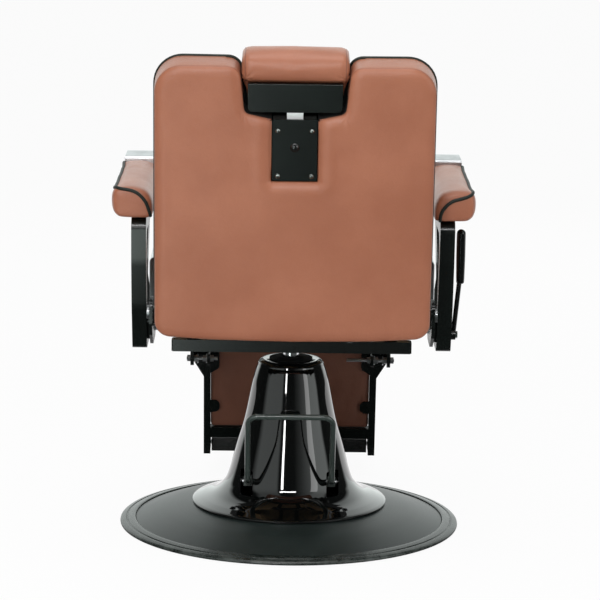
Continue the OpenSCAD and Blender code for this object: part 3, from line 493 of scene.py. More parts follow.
def fixingTree():  # the same screw on every point, facing one way, each turned by its own angle
    graph, given = newTree("fixings", [("Screw", "Object", None), ("Facing", "Vector", (0, 1, 0)), ("Seed", "Int", 4),
                                       ("Finish", "Material", None)])
    screw = graph.add("GeometryNodeObjectInfo", None, {0: given["Screw"]}, "Geometry")
    facing = graph.add("FunctionNodeAlignRotationToVector", {"axis": "Z"}, {"Vector": given["Facing"]})
    spin = graph.add("FunctionNodeRandomValue", {"data_type": "FLOAT"}, {2: 0.0, 3: 6.2832, "Seed": given["Seed"]}, 1)
    turned = graph.add("FunctionNodeAxisAngleToRotation", None, {"Axis": (0, 0, 1), "Angle": spin})
    both = graph.add("FunctionNodeRotateRotation", {"rotation_space": "LOCAL"}, {0: facing, 1: turned})
    row = graph.add("GeometryNodeInstanceOnPoints", None, {"Points": given["Geometry"], "Instance": screw,
                                                          "Rotation": both})
    return closeTree(graph, row, given["Finish"])


trees = {"cord": cordTree(), "fixing": fixingTree()}


def grown(piece, tree, **values):  # runs a geometry tree on a piece and keeps the result as its mesh
    modifier = piece.modifiers.new("grow", "NODES")
    modifier.node_group = trees[tree]
    for item in trees[tree].interface.items_tree:
        if item.in_out == "INPUT" and item.name in values:
            modifier[item.identifier] = values[item.name]
    return settle(piece)


def pathPiece(name, points, closed=False):
    count = len(points)
    mesh = bpy.data.meshes.new(name)
    edges = [(i, i + 1) for i in range(count - 1)] + ([(count - 1, 0)] if closed else [])
    mesh.from_pydata([tuple(c * mm for c in p) for p in points], edges, [])
    piece = bpy.data.objects.new(name, mesh)
    scene.collection.objects.link(piece)
    return piece


def cord(name, points, radius, finish, closed=False, sides=12):
    return grown(pathPiece(name, points, closed), "cord", Radius=radius * mm, Sides=sides, Finish=finishes[finish])


def mirrored(half):  # the half of an outline, then its mirror image back to the start
    return half + [(-p[0], *p[1:]) for p in reversed(half)]


def smoothRing(points, steps=6):  # a smooth closed curve through points
    count = len(points)
    out = []
    for i in range(count):
        around = [points[i - 1], points[i], points[(i + 1) % count], points[(i + 2) % count]]
        out += catmull(around, steps)[steps:2 * steps]
    return out


def evenly(points, gap, closed=False):  # the same path with its points a given gap apart
    p = [np.array(q, float) for q in points] + ([np.array(points[0], float)] if closed else [])
    lengths = np.concatenate([[0], np.cumsum([np.linalg.norm(p[i + 1] - p[i]) for i in range(len(p) - 1)])])
    count = max(3, int(lengths[-1] / gap))
    where = np.linspace(0, lengths[-1], count + 1)[:count if closed else count + 1]
    cols = [np.interp(where, lengths, [q[k] for q in p]) for k in range(3)]
    return list(zip(*cols))


# soft parts

def shrunk(piece, distance):  # every point goes in along its normal, in millimetres
    normals = np.array([v.normal[:] for v in piece.data.vertices])
    coords = np.array([v.co[:] for v in piece.data.vertices]) - normals * (distance * mm)
    piece.data.vertices.foreach_set("co", coords.ravel())
    piece.data.update()


def filled(piece, voxel, pressure, cap, held=None, smoothing=2, frames=20):
    # an even mesh is filled like a cushion, and no point moves further than cap
    modified(piece, "REMESH", mode="VOXEL", voxel_size=voxel * mm, use_smooth_shade=True)
    settle(piece)
    mesh = piece.data
    count = len(mesh.vertices)
    before = np.empty(count * 3)
    mesh.vertices.foreach_get("co", before)
    before = before.reshape(-1, 3)
    if held is not None:
        group = piece.vertex_groups.new(name="held")
        for i in np.nonzero(held(before / mm))[0]:
            group.add([int(i)], 1.0, "REPLACE")
    cloth = modified(piece, "CLOTH")
    s = cloth.settings
    s.quality, s.mass, s.air_damping = 4, 0.3, 2.0
    s.tension_stiffness = s.compression_stiffness = 12.0
    s.shear_stiffness, s.bending_stiffness = 6.0, 0.4
    s.use_pressure, s.uniform_pressure_force = True, pressure
    s.effector_weights.gravity = 0.0
    if held is not None:
        s.vertex_group_mass = "held"
    cloth.collision_settings.use_collision = False
    cloth.point_cache.frame_start, cloth.point_cache.frame_end = 1, frames
    for frameNumber in range(1, frames + 1):
        scene.frame_set(frameNumber)
    after = np.empty(count * 3)
    piece.evaluated_get(bpy.context.evaluated_depsgraph_get()).data.vertices.foreach_get("co", after)
    move = after.reshape(-1, 3) - before
    size = np.maximum(np.linalg.norm(move, axis=1, keepdims=True), 1e-9)
    move *= cap * mm * np.tanh(size / (cap * mm)) / size
    piece.modifiers.clear()
    piece.vertex_groups.clear()
    scene.frame_set(1)
    mesh.vertices.foreach_set("co", (before + move).ravel())
    mesh.update()
    if smoothing:
        modified(piece, "SMOOTH", factor=0.5, iterations=smoothing)
    modified(piece, "SUBSURF", levels=1, render_levels=1)
    settle(piece)
    piece.data.shade_smooth()
    return piece


def reshaped(piece, change):  # change takes a point and a normal in millimetres and gives a point
    for v in piece.data.vertices:
        v.co = Vector(change(v.co / mm, v.normal)) * mm
    piece.data.update()


def surfaceOf(piece):
    bm = bmesh.new()
    bm.from_mesh(piece.data)
    tree = BVHTree.FromBMesh(bm)
    bm.free()
    return tree


def laidOn(tree, points, lift=0.0):  # points moved to the nearest place of a surface
    out = []
    for p in points:
        spot, normal, _, _ = tree.find_nearest(Vector(p) * mm)
        out.append(tuple((spot + normal * lift * mm) / mm))
    return out


def rides(piece, body, slot, *replaced, fill=None):
    if replaced:
        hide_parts(*replaced)
    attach(piece, body)
    return piece


# base and column

baseShape = {
    "dish": [(96, 48.8), (150, 47.4), (186, 44.4), (230, 35.5), (262, 26), (288, 17), (304, 11)],
    "sheet": 2.5,
    "rim": [(296, 1.5), (333, 1.5), (334.5, 2.4), (335, 4), (334.4, 6.5), (332, 8.6), (327, 10.2), (323.6, 10.9),
            (322.4, 9.6), (320.6, 9.9), (319.6, 11.6), (311, 13.2), (307, 13.5), (305, 12.7), (304.4, 11),
            (304.4, 6), (296, 6)],
    "rimFillets": [0, 0.6, 0.8, 1.2, 1.2, 2, 3, 0.7, 0.5, 0.5, 0.7, 2, 1.5, 0.8, 0.8, 0, 0],
}


def makeBase(shape):
    top = catmull(shape["dish"], 8)
    top = top[:-1] + [np.array((303.4, 11.3)), np.array((304, 10.6))]
    under = [p - np.array((0, shape["sheet"])) for p in reversed(top[:-2])]
    dish = lathed("baseDish", top + [np.array((304, 6.2)), np.array((301.5, 6.2))] + under, "dishBlack", 192)
    rides(creased(dish, 40), "base", "base_black", "base_dish")
    rim = lathed("baseRim", filleted(shape["rim"], shape["rimFillets"], 4), "rimBlack", 192)
    rides(creased(rim, 30), "base", "base_black", "rim_ring")


coverShape = {
    "flange": [(174, 56), (150, 65), (132, 81), (121, 102), (104, 164), (90, 214), (76, 285), (69.5, 311), (66, 321)],
    "lip": [(190.2, 45.3), (191.6, 45.8), (192, 47.2), (191.7, 48.8), (190.4, 50.1), (186, 51.6)],
    "crown": [(66, 321), (64.6, 326), (61.5, 330), (57, 332), (50, 332), (40, 332)],
    "wall": 2.2, "foot": 46.5,
    "slot": {"x": 84, "halfWidth": 12, "low": 78, "high": 124, "front": 60, "back": 140},
}


def makeCover(shape):
    outer = [np.array(p, float) for p in shape["lip"]] + catmull(shape["flange"], 8) + catmull(shape["crown"], 4)[1:]
    inner = []
    for i in range(len(outer) - 1, 4, -1):
        a, b = outer[max(i - 1, 0)], outer[min(i + 1, len(outer) - 1)]
        t = (b - a) / np.linalg.norm(b - a)
        inner.append(np.array((outer[i][0] - shape["wall"] * abs(t[1]),
                               max(outer[i][1] - shape["wall"] * abs(t[0]), shape["foot"]))))
    inner.append(np.array((184, 45.6)))
    cover = lathed("columnCover", outer + inner, "glossBlack", 224)
    slot = shape["slot"]
    for side in (-1, 1):
        x = side * slot["x"]
        cutter = newPiece("cutter", [(x + a * slot["halfWidth"], b, c) for a in (-1, 1)
                                     for b in (slot["front"], slot["back"]) for c in (slot["low"], slot["high"])],
                          [(0, 1, 3, 2), (4, 5, 7, 6), (0, 1, 5, 4), (2, 3, 7, 6), (0, 2, 6, 4), (1, 3, 7, 5)],
                          "glossBlack", False)
        modified(cutter, "BEVEL", width=4 * mm, segments=3)
        settle(cutter)
        modified(cover, "BOOLEAN", operation="DIFFERENCE", solver="EXACT", object=cutter)
        settle(cover)
        bpy.data.objects.remove(cutter)
    rides(creased(cover, 34), "base", "cover_gloss", "column_cover")
    cap = lathed("columnCollar", filleted([(16.8, 329), (39.7, 329), (39.7, 332.1), (43, 332.1), (42, 335), (24, 337),
                                           (16.8, 337)], [0, 0, 0, 0.8, 1.2, 1.2, 0.8], 4), "blackRubber", 96)
    rides(creased(cap, 35), "base", "rubber_black", "column_cap")


footBar = {"x": 82, "hub": (54, 95), "reach": 16, "bend": (115, 112), "corner": (205, 259), "radius": 5.5, "fillet": 20}


def makeFootBar(bar):
    direction = np.array(bar["bend"]) - np.array(bar["hub"])
    start = np.array(bar["hub"]) + (bar["reach"] - 3) * direction / np.linalg.norm(direction)
    half = [(bar["x"], *start), (bar["x"], *bar["bend"]), (bar["x"], *bar["corner"])]
    path = filleted(mirrored(half), [0, 24, bar["fillet"], bar["fillet"], 24, 0], 14, False)
    # the foot bar takes the grey bar paint with its painted sheen
    rod = cord("footBar", path, bar["radius"], "barSatin", sides=28)
    rides(rod, "foot_bar", "bar_black", "pump_bar")


makeBase(baseShape)
makeCover(coverShape)
makeFootBar(footBar)
print("base, column and foot bar made")


# backrest

backShape = {
    "outline": [(0, 411), (48, 411), (92.5, 421), (102.5, 509), (256, 510), (256, -9), (150, -15.3), (0, -18)],
    "fillets": [0, 22, 13, 24, 50, 30, 120, 0],
    "slot": {"half": 42.5, "low": 293},
    "seamY": 108, "faceY": 117, "roll": 21, "slotDrop": 12.5, "slotRoll": 17, "frontY": 39.8,
}


def backOutline(shape, top=0.0, low=0.0):  # one half of the outline, from the notch floor to the bottom
    half = filleted(shape["outline"], shape["fillets"], 10, False)
    return [(x, z + top if z > 300 else z + low) for x, z in half]


def spread(low, high, count):  # numbers from low to high, closer together at both ends
    t = np.linspace(0, 1, count + 1)
    return low + (high - low) * (0.5 - 0.5 * np.cos(math.pi * t))


def backColumns():
    half = ([0, 9, 18, 27, 34, 39, 42.5, 45] + list(np.arange(46, 54, 2)) + list(np.arange(54, 84, 3))
            + list(np.arange(84, 112, 1.0)) + [113.5, 115.5, 118, 121, 125, 130, 136] + list(np.arange(144, 208, 8))
            + list(np.arange(210, 240, 4)) + [241, 244, 246.5, 248.7, 250.5, 252, 253.3, 254.4, 255.2, 255.7, 256])
    return [-x for x in reversed(half[1:])] + half


def edgeHeights(outline, columns):  # top and bottom of the outline at each column
    turn = max(range(len(outline)), key=lambda i: (outline[i][0], outline[i][1]))
    upper = outline[:turn + 1]
    side = [p for p in outline[turn:] if p[0] >= 255.99]
    lower = [side[-1]] + [p for p in outline[turn:] if p[0] < 255.99]
    xu, zu = zip(*upper)
    xl, zl = zip(*reversed(lower))
    tops = [float(np.interp(abs(x), xu, zu)) for x in columns]
    lows = [float(np.interp(abs(x), xl, zl)) for x in columns]
    return tops, lows


def distanceTo(points, line, closed=False):  # least distance from each point to a polyline
    a = np.array(line, float)
    b = np.roll(a, -1, axis=0) if closed else a[1:]
    a = a if closed else a[:-1]
    d = b - a
    out = np.full(len(points), 1e9)
    for s in range(0, len(points), 2000):
        p = np.array(points[s:s + 2000], float)[:, None, :]
        t = np.clip(((p - a) * d).sum(2) / np.maximum((d * d).sum(1), 1e-9), 0, 1)
        out[s:s + 2000] = np.linalg.norm(p - (a + t[..., None] * d), axis=2).min(1)
    return out


def roundDrop(distance, depth, reach):  # how far a rolled edge falls below the face
    t = 1 - np.clip(distance / reach, 0, 1)
    return depth * (1 - np.sqrt(np.clip(1 - t * t, 0, 1)))


def backGrid(columns, tops, lows, split, lowRows, highRows, slot=None):
    points, index, faces = [], {}, []
    for i, x in enumerate(columns):
        heights = list(spread(lows[i], split, lowRows)) + list(spread(split, tops[i], highRows))[1:]
        for j, z in enumerate(heights):
            if slot and abs(x) < slot["half"] - 0.01 and j > lowRows:
                continue
            index[i, j] = len(points)
            points.append((x, z))
    for i in range(len(columns) - 1):
        for j in range(lowRows + highRows):
            corners = [(i, j), (i + 1, j), (i + 1, j + 1), (i, j + 1)]
            if all(c in index for c in corners):
                if slot and j >= lowRows and abs(columns[i] + columns[i + 1]) / 2 < slot["half"]:
                    continue
                faces.append([index[c] for c in corners])
    return points, faces


def rimLoop(faces):  # the border of a sheet of faces, in order
    used = {}
    for face in faces:
        for a, b in zip(face, face[1:] + face[:1]):
            used[a, b] = True
    after = {a: b for a, b in used if (b, a) not in used}
    start = next(iter(after))
    loop = [start]
    while after[loop[-1]] != start:
        loop.append(after[loop[-1]])
    return loop


def doubled(faces, count):  # a sheet and its copy, whose points come count later, joined along their border
    loop = rimLoop(faces)
    pairs = [(loop[k], loop[(k + 1) % len(loop)]) for k in range(len(loop))]
    return (list(faces) + [[i + count for i in reversed(face)] for face in faces]
            + [[b, a, a + count, b + count] for a, b in pairs])


def rimNormals(points, loop):  # outward directions in the plane of the sheet
    p = np.array([points[i] for i in loop])
    t = np.roll(p, -1, axis=0) - np.roll(p, 1, axis=0)
    t /= np.maximum(np.linalg.norm(t, axis=1, keepdims=True), 1e-9)
    return np.stack([t[:, 1], -t[:, 0]], axis=1)


def makeRearPanel(shape):
    slot = shape["slot"]
    columns = backColumns()
    half = backOutline(shape)
    tops, lows = edgeHeights(half, columns)
    points, faces = backGrid(columns, tops, lows, slot["low"], 56, 46, slot)
    loop = rimLoop(faces)
    normals = rimNormals(points, loop)
    border = mirrored(half)
    flat = np.array(points)
    outside = distanceTo(flat, border, True)
    slotLine = [(-slot["half"], 430), (-slot["half"], slot["low"] + 4), (-slot["half"] + 4, slot["low"]),
                (slot["half"] - 4, slot["low"]), (slot["half"], slot["low"] + 4), (slot["half"], 430)]
    inside = distanceTo(flat, slotLine)
    x, z = flat[:, 0], flat[:, 1]
    crown = 1.6 * np.cos(x / 256 * 1.45) * np.clip(np.sin((z + 18) / 528 * math.pi), 0, 1)
    lift = 0.9 * np.exp(-((inside - 23) / 9) ** 2)
    y = shape["faceY"] - 1.6 + crown + lift - roundDrop(outside, shape["faceY"] - shape["seamY"], shape["roll"])
    y -= roundDrop(inside, shape["slotDrop"], shape["slotRoll"])
    waves = [0.55 * noise.noise(Vector((px / 95, pz / 95, 3.1))) + 0.22 * noise.noise(Vector((px / 34, pz / 34, 8)))
             for px, pz in points]
    y += np.array(waves) * np.clip(outside / 25, 0, 1)
    # small puckers where the cover is pulled round the lower corners of the notch
    for cx, cz in ((-92, 420), (92, 420)):
        away = np.hypot(x - cx, z - cz)
        angle = np.arctan2(z - cz, x - cx)
        y += 0.5 * np.cos(angle * 7) * np.exp(-(away / 16) ** 2) * np.clip(away / 6, 0, 1)
    verts = [(px, py, pz) for (px, pz), py in zip(points, y)]
    shell = list(faces)
    previous = loop
    inSlot = [abs(points[i][0]) <= slot["half"] + 0.01 and points[i][1] < 414 for i in loop]
    rings = [(-1.1, 107.1), (-1.3, 106.0), (-0.2, 104.8), (0.3, 102), (0.8, 96), (1.4, 84), (1.9, 68), (2.2, 52),
             (2.2, 43), (1.4, 39.8)]
    for offset, depth in rings:
        ring = []
        for k, i in enumerate(loop):
            px, pz = points[i]
            if inSlot[k]:
                py = 104.5 - (108 - depth) * 0.65
                verts.append((px, min(py, 104), pz))
            else:
                out = offset if offset < 0 or pz < 405 or abs(px) > 126 else offset * 0.3
                verts.append((px + normals[k][0] * out, depth, pz + normals[k][1] * out))
            ring.append(len(verts) - 1)
        for k in range(len(loop)):
            n = (k + 1) % len(loop)
            shell.append([previous[n], previous[k], ring[k], ring[n]])
        previous = ring
    offsetOf = dict(zip(loop, previous))
    inner = {}
    for i, (px, pz) in enumerate(points):
        if i not in offsetOf:
            inner[i] = len(verts)
            verts.append((px, shape["frontY"], pz))
    shell += [[inner.get(i, offsetOf.get(i)) for i in reversed(face)] for face in faces]
    panel = newPiece("rearPanel", [inBack(v) for v in verts], shell, "tanLeather")
    panel.data.materials.append(finishes["backCloth"])
    for face in panel.data.polygons:  # faces inside the notch take the black finish of the board behind the headrest
        cx, cy, cz = face.center / mm
        deep, high = ownBack(cy, cz)
        if abs(cx) < 105 and 288 < high < 452 and 40.5 < deep < 103:
            face.material_index = 1
    rides(panel, "backrest", "upholstery_tan", "rear_panel", fill=0.9)
    # the seam round the edge lies in its groove
    seam = []
    for k, i in enumerate(loop):
        if not inSlot[k]:
            px, pz = points[i]
            seam.append((px - normals[k][0] * 0.7, 107.0, pz - normals[k][1] * 0.7))
    start = max(range(len(seam)), key=lambda k: math.dist(seam[k], seam[k - 1]))
    seam = seam[start:] + seam[:start]
    line = cord("rearPanelSeam", [inBack(p) for p in evenly(seam, 4)], 0.95, "seamLeather", sides=8)
    rides(line, "backrest", "upholstery_tan")
    return border


frontCushion = {"borderY": 10.0, "bulge": 24, "roll": 27, "crown": 12, "backY": 37.4, "shrunk": 1.0, "voxel": 6.5,
                "cap": 5, "heldFrom": 33, "board": 37.6, "pipingY": 38.6, "pipingOut": 1.8, "pipingRadius": 3.3}


def makeFrontCushion(shape, look, border):
    columns = backColumns()
    half = backOutline(shape, top=-2, low=4)
    tops, lows = edgeHeights(half, columns)
    points, faces = backGrid(columns, tops, lows, 290, 40, 36)
    flat = np.array(points)
    edge = distanceTo(flat, mirrored(half), True)
    x, z = flat[:, 0], flat[:, 1]
    crown = look["crown"] * np.cos(x / 256 * 1.5) * np.clip(np.sin((z + 14) / 520 * math.pi), 0, 1)
    rise = look["bulge"] - roundDrop(edge, look["bulge"], look["roll"])
    y = look["borderY"] - rise - crown * np.clip(edge / 60, 0, 1)
    verts = [(px, py, pz) for (px, pz), py in zip(points, y)]
    shell = doubled(faces, len(verts))
    verts += [(px, look["backY"], pz) for px, pz in points]
    cushion = newPiece("frontCushion", [inBack(v) for v in verts], shell, "tanLeather")
    shrunk(cushion, look["shrunk"])
    filled(cushion, look["voxel"], 4.0, look["cap"], lambda p: nearBack(p[:, 1], p[:, 2])[0] > look["heldFrom"])
    reshaped(cushion, pressedTo(look["board"], backHinge, *backTurn))  # the back stays flat on its board
    rides(cushion, "backrest", "upholstery_tan", "back_cushion", fill=0.8)
    piping = []
    for k, (px, pz) in enumerate(border):
        a, b = np.array(border[k - 2]), np.array(border[(k + 2) % len(border)])
        t = (b - a) / max(np.linalg.norm(b - a), 1e-9)
        piping.append((px - t[1] * look["pipingOut"], look["pipingY"], pz + t[0] * look["pipingOut"]))
    welt = cord("backPiping", [inBack(p) for p in evenly(piping, 4, True)], look["pipingRadius"], "pipingVinyl",
                True, 14)
    rides(welt, "backrest", "upholstery_tan")


border = makeRearPanel(backShape)
makeFrontCushion(backShape, frontCushion, border)
print("backrest made")


# headrest

headrest = {
    "section": [(83, 2), (83, 27), (83, 54), (92, 56.5), (101, 64), (104.5, 83), (98, 100), (78, 109), (45, 110),
                (18, 103), (4, 81), (0, 50), (4, 18), (20, 4), (50, 1)],
    "base": 421.5, "halfWidth": 98.4, "foot": 86.2, "middle": (52, 58), "endRound": 17, "shrunk": 0.6, "voxel": 4.2,
    "cap": 3.2, "seamAt": 94,
}


def makeHeadrest(look):
    ring = smoothRing(look["section"])
    middle = np.array(look["middle"], float)

    def halfWidth(z):
        t = min(max((z - 20) / 45, 0), 1)
        return look["foot"] + (look["halfWidth"] - look["foot"]) * t * t * (3 - 2 * t)

    rings = []
    for u in spread(-1, 1, 44):
        inner = (1 - abs(u)) * look["halfWidth"]
        t = 1 - min(inner / look["endRound"], 1)
        e = 0.80 + 0.20 * math.sqrt(1 - t * t)
        places = [middle + (p - middle) * e for p in ring]
        rings.append([inBack((u * halfWidth(p[1]), min(p[0], 83 if p[1] < 54 else 104.6), look["base"] + p[1]))
                      for p in places])
    roll = lofted("headrestRoll", rings, "tanLeather")
    shrunk(roll, look["shrunk"])

    def onPlate(p):
        depth, height = nearBack(p[:, 1], p[:, 2])
        return (height < 480) & (depth > 78)
    filled(roll, look["voxel"], 3.5, look["cap"], onPlate)

    def puckered(p, n):  # gathers where the cover is drawn round the lower corners
        y, z = nearBack(p.y, p.z)
        push = 0.0
        for cx in (-90, 90):
            for cz, amount in ((486, 1.3), (530, 0.3)):
                away = math.hypot(p.x - cx, (z - cz) * 0.9)
                angle = math.atan2(z - cz, p.x - cx)
                push += amount * math.cos(angle * 6 + 1.2) * math.exp(-(away / 13) ** 2)
        push += 0.22 * noise.noise(Vector((p.x / 60, z / 30, y / 30)))
        return p + n * (push if y > -5 else 0)
    reshaped(roll, puckered)
    rides(roll, "headrest", "upholstery_tan", "headrest_cushion", fill=0.8)
    skin = surfaceOf(roll)
    seams = []
    for side in (-1, 1):
        path = []
        for p in ring:
            q = middle + (p - middle) * 1.3
            x = side * look["seamAt"] * min(1, halfWidth(p[1]) / look["halfWidth"])
            start = Vector(inBack((x, q[0], look["base"] + q[1])))
            aim = Vector(inBack((side * (look["seamAt"] - 8), middle[0], look["base"] + middle[1])))
            hit = skin.ray_cast(start * mm, (aim - start).normalized())
            if hit[0] is not None:
                path.append(tuple(hit[0] / mm - hit[1] * 0.25))
        seams.append(cord("seam", evenly(path, 3, True), 0.95, "seamLeather", True, 8))
    line = joined("headrestSeams", seams)
    rides(line, "headrest", "upholstery_tan")


makeHeadrest(headrest)
print("headrest made")


# arm pads

armPad = {
    "section": [(0.10, 0), (0.72, 0), (0.87, 0.06), (0.965, 0.21), (1, 0.46), (0.995, 0.74), (0.94, 0.93), (0.72, 1),
                (0.42, 0.99), (0.17, 0.88), (0.03, 0.58), (0, 0.26), (0.04, 0.06)],
    "width": 80, "height": 60, "inside": 262, "low": 645.3, "rear": 250, "front": -130, "endRound": 20,
    "shrunk": 0.7, "voxel": 4.6, "cap": 4, "pipingRadius": 3.2,
    "pipingTop": [(337.5, -126, 701), (339, -60, 702), (339.5, 60, 702.5), (339.5, 170, 702.5), (338.5, 226, 702.5)],
    "pipingRear": {1: [(336, 262, 702), (323, 262, 700.5), (308, 262, 699.5), (295, 262, 695.5), (284, 262, 687),
                       (275, 262, 674.5), (270.5, 262, 660), (268.5, 262, 650)],
                   -1: [(336, 262, 702), (332, 262, 697), (318, 262, 692), (298, 262, 686.5), (286.5, 262, 678),
                        (278.5, 262, 667.5), (275, 262, 657), (275, 262, 648)]},
}


def makeArmPad(name, side, look):
    ring = smoothRing([(look["width"] * a, look["height"] * b) for a, b in look["section"]])
    middle = np.array((look["width"] / 2, look["height"] * 0.45))
    rings = []
    for u in spread(-1, 1, 60):
        y = (look["rear"] + look["front"]) / 2 + u * (look["rear"] - look["front"]) / 2
        t = 1 - min((look["rear"] - y if u > 0 else (y - look["front"]) * 2) / look["endRound"], 1)
        least = 0.80 if u > 0 else 0.93
        e = least + (1 - least) * math.sqrt(1 - t * t)
        rings.append([(side * (look["inside"] + q[0]), y, look["low"] + max(q[1], 0))
                      for q in (middle + (p - middle) * e for p in ring)])
    pad = lofted(name, rings, "tanLeather")
    shrunk(pad, look["shrunk"])
    filled(pad, look["voxel"], 3.5, look["cap"], lambda p: p[:, 2] < look["low"] + 3)

    def settled(p, n):
        wave = 0.8 * noise.noise(Vector((p.x / 45, p.y / 70, p.z / 40 + side * 4)))
        return Vector((p.x + n.x * wave, p.y + n.y * wave, max(p.z + n.z * wave, look["low"])))
    reshaped(pad, settled)
    rides(pad, "seat", "upholstery_tan", "arm_pad_left" if side > 0 else "arm_pad_right", fill=0.8)
    skin = surfaceOf(pad)
    path = laidOn(skin, [(side * x, y, z) for x, y, z in catmull(look["pipingTop"], 12)])
    for x, y, z in catmull(look["pipingRear"][side], 8):
        hit = skin.ray_cast(Vector((side * x, y + 20, z)) * mm, Vector((0, -1, 0)))
        if hit[0] is not None:
            path.append(tuple(hit[0] / mm))
    path = evenly(path, 5)
    smoothPath = [tuple(np.mean([path[min(max(i + k, 0), len(path) - 1)] for k in (-1, 0, 1)], axis=0))
                  for i in range(len(path))]
    path = laidOn(skin, smoothPath, 1.0)
    welt = cord(name + "Piping", path, look["pipingRadius"], "pipingVinyl", sides=14)
    rides(welt, "seat", "upholstery_tan")


makeArmPad("armPadLeft", 1, armPad)
makeArmPad("armPadRight", -1, armPad)
print("arm pads made")


# seat and leg rest

def roundedPlace(u, v, halfWidth, halfDepth, corner):  # a place on a rounded rectangle, u and v from -1 to 1
    x, y = halfWidth * math.sin(math.pi / 2 * u), halfDepth * math.sin(math.pi / 2 * v)
    a, b = (abs(x) - halfWidth + corner) / corner, (abs(y) - halfDepth + corner) / corner
    if a > 0 and b > 0:
        x, y = (math.copysign(halfWidth - corner + corner * a * math.sqrt(1 - b * b / 2), x),
                math.copysign(halfDepth - corner + corner * b * math.sqrt(1 - a * a / 2), y))
    return x, y


def roundedGrid(steps, halfWidth, halfDepth, corner, flipped=False):  # points and faces of a rounded rectangle
    points = [roundedPlace(2 * i / steps - 1, 2 * j / steps - 1, halfWidth, halfDepth, corner)
              for i in range(steps + 1) for j in range(steps + 1)]
    faces = []
    for i in range(steps):
        for j in range(steps):
            a = i * (steps + 1) + j
            b, c, d = a + steps + 1, a + steps + 2, a + 1
            faces.append((a, d, c, b) if flipped else (a, b, c, d))
    return points, faces


def roundUp(distance, radius):  # rises from 0 at an edge to 1 at radius, as an arc does
    t = 1 - min(max(distance, 0) / radius, 1)
    return math.sqrt(1 - t * t)


def cushionMesh(name, look, place):
    w, d = look["width"] / 2, look["depth"] / 2
    grid, faces = roundedGrid(look["steps"], w, d, look["corner"])
    upper, lower = [], []
    for x, y in grid:
        e = roundUp(w - abs(x), look["edge"]) * roundUp(d - abs(y), look["edge"])
        c = (1 - (x / w) ** 2) * (1 - (y / d) ** 2)
        upper.append((x, y, look["height"] - look["edge"] * (1 - e) + look["crown"] * c))
        lower.append((x, y, 0))
    return newPiece(name, [place(p) for p in upper + lower], doubled(faces, len(grid)), "tanLeather")


def edgePiping(name, cushion, look, place, body):  # a welt round the side of a cushion, below its top
    w, d = look["width"] / 2, look["depth"] / 2
    outline = filleted([(w, d), (-w, d), (-w, -d), (w, -d)], [look["corner"]] * 4, look["pipingSteps"])
    level = look["height"] - look["pipingDown"]
    around = [place((x, y, level)) for x, y, _ in evenly([(x, y, 0) for x, y in outline], 6, True)]
    path = laidOn(surfaceOf(cushion), around, look["pipingLift"])
    welt = cord(name, path, look["pipingRadius"], "pipingVinyl", True, 12)
    rides(welt, body, "upholstery_tan")


seatCushion = {"width": 498, "depth": 445, "height": 84.5, "corner": 40, "edge": 26, "crown": 12, "steps": 60,
               "shrunk": 1.5, "voxel": 6.5, "cap": 7, "z": 441.5, "centreY": -42.5,
               "pipingDown": 27, "pipingSteps": 12, "pipingLift": 0.8, "pipingRadius": 2.9}
legPad = {"width": 320, "depth": 237, "height": 40, "corner": 18, "edge": 16, "crown": 8, "steps": 44,
          "shrunk": 1.2, "voxel": 5, "cap": 5, "faceY": -6.5, "centreZ": -138,
          "pipingDown": 15, "pipingSteps": 10, "pipingLift": 0.7, "pipingRadius": 2.6}
legBoard = {"half": 164.6, "low": -259, "high": -16, "front": -6, "back": 6, "corner": 10, "edge": 5, "steps": 70,
            "crown": 2.4, "wrinkle": 1.1}


def makeSeat(look):
    def place(p):
        return (p[0], p[1] + look["centreY"], p[2] + look["z"])
    cushion = cushionMesh("seatCushion", look, place)
    shrunk(cushion, look["shrunk"])
    filled(cushion, look["voxel"], 4.0, look["cap"], lambda p: p[:, 2] < look["z"] + 4)
    reshaped(cushion, lambda p, n: (p.x, p.y, max(p.z, look["z"])))
    rides(cushion, "seat", "upholstery_tan", "seat_cushion", fill=0.8)
    edgePiping("seatPiping", cushion, look, place, "seat")


def makeLegPad(look):
    def place(p):  # the pad faces forwards in the leg rest's own frame
        return inLeg((p[0], look["faceY"] - p[2], p[1] + look["centreZ"]))
    pad = cushionMesh("legPad", look, place)
    shrunk(pad, look["shrunk"])
    filled(pad, look["voxel"], 3.5, look["cap"], lambda p: nearLeg(p[:, 1], p[:, 2])[0] > -10)
    reshaped(pad, pressedTo(look["faceY"], legHinge, *legTurn))
    rides(pad, "leg_rest", "upholstery_tan", "leg_rest_pad", fill=0.8)
    edgePiping("legPadPiping", pad, look, place, "leg_rest")


def makeLegBoard(look):  # the covered back of the leg rest, pulled tight with a few creases
    w, cz = look["half"], (look["low"] + look["high"]) / 2
    d = (look["high"] - look["low"]) / 2
    grid, faces = roundedGrid(look["steps"], w, d, look["corner"], True)
    back, front = [], []
    for x, z in grid:
        e = roundUp(w - abs(x), look["edge"]) * roundUp(d - abs(z), look["edge"])
        c = (1 - (x / w) ** 2) * (1 - (z / d) ** 2)
        crease = look["wrinkle"] * noise.noise(Vector((x / 26 + z / 90, z / 70, 5)))
        crease = (crease + 0.5 * noise.noise(Vector((x / 12, z / 30, 9)))) * (0.35 + 0.65 * (1 - c)) * e
        back.append(inLeg((x, look["back"] - 2.5 - 4.5 * (1 - e) + look["crown"] * c + crease, z + cz)))
        front.append(inLeg((x, look["front"], z + cz)))
    # the board takes the darker leather with its painted shade
    board = newPiece("legBoard", back + front, doubled(faces, len(grid)), "legLeather")
    rides(board, "leg_rest", "upholstery_tan", "leg_rest_board", fill=0.95)


makeSeat(seatCushion)
makeLegPad(legPad)
makeLegBoard(legBoard)
print("seat and leg rest made")


# screws

screws = {"coverX": 31, "coverZ": (303.5, 389), "faceY": 107, "radius": 4.6, "height": 2.6,
          "lockZ": 358, "lockRadius": 8.4, "lockHeight": 5.2}


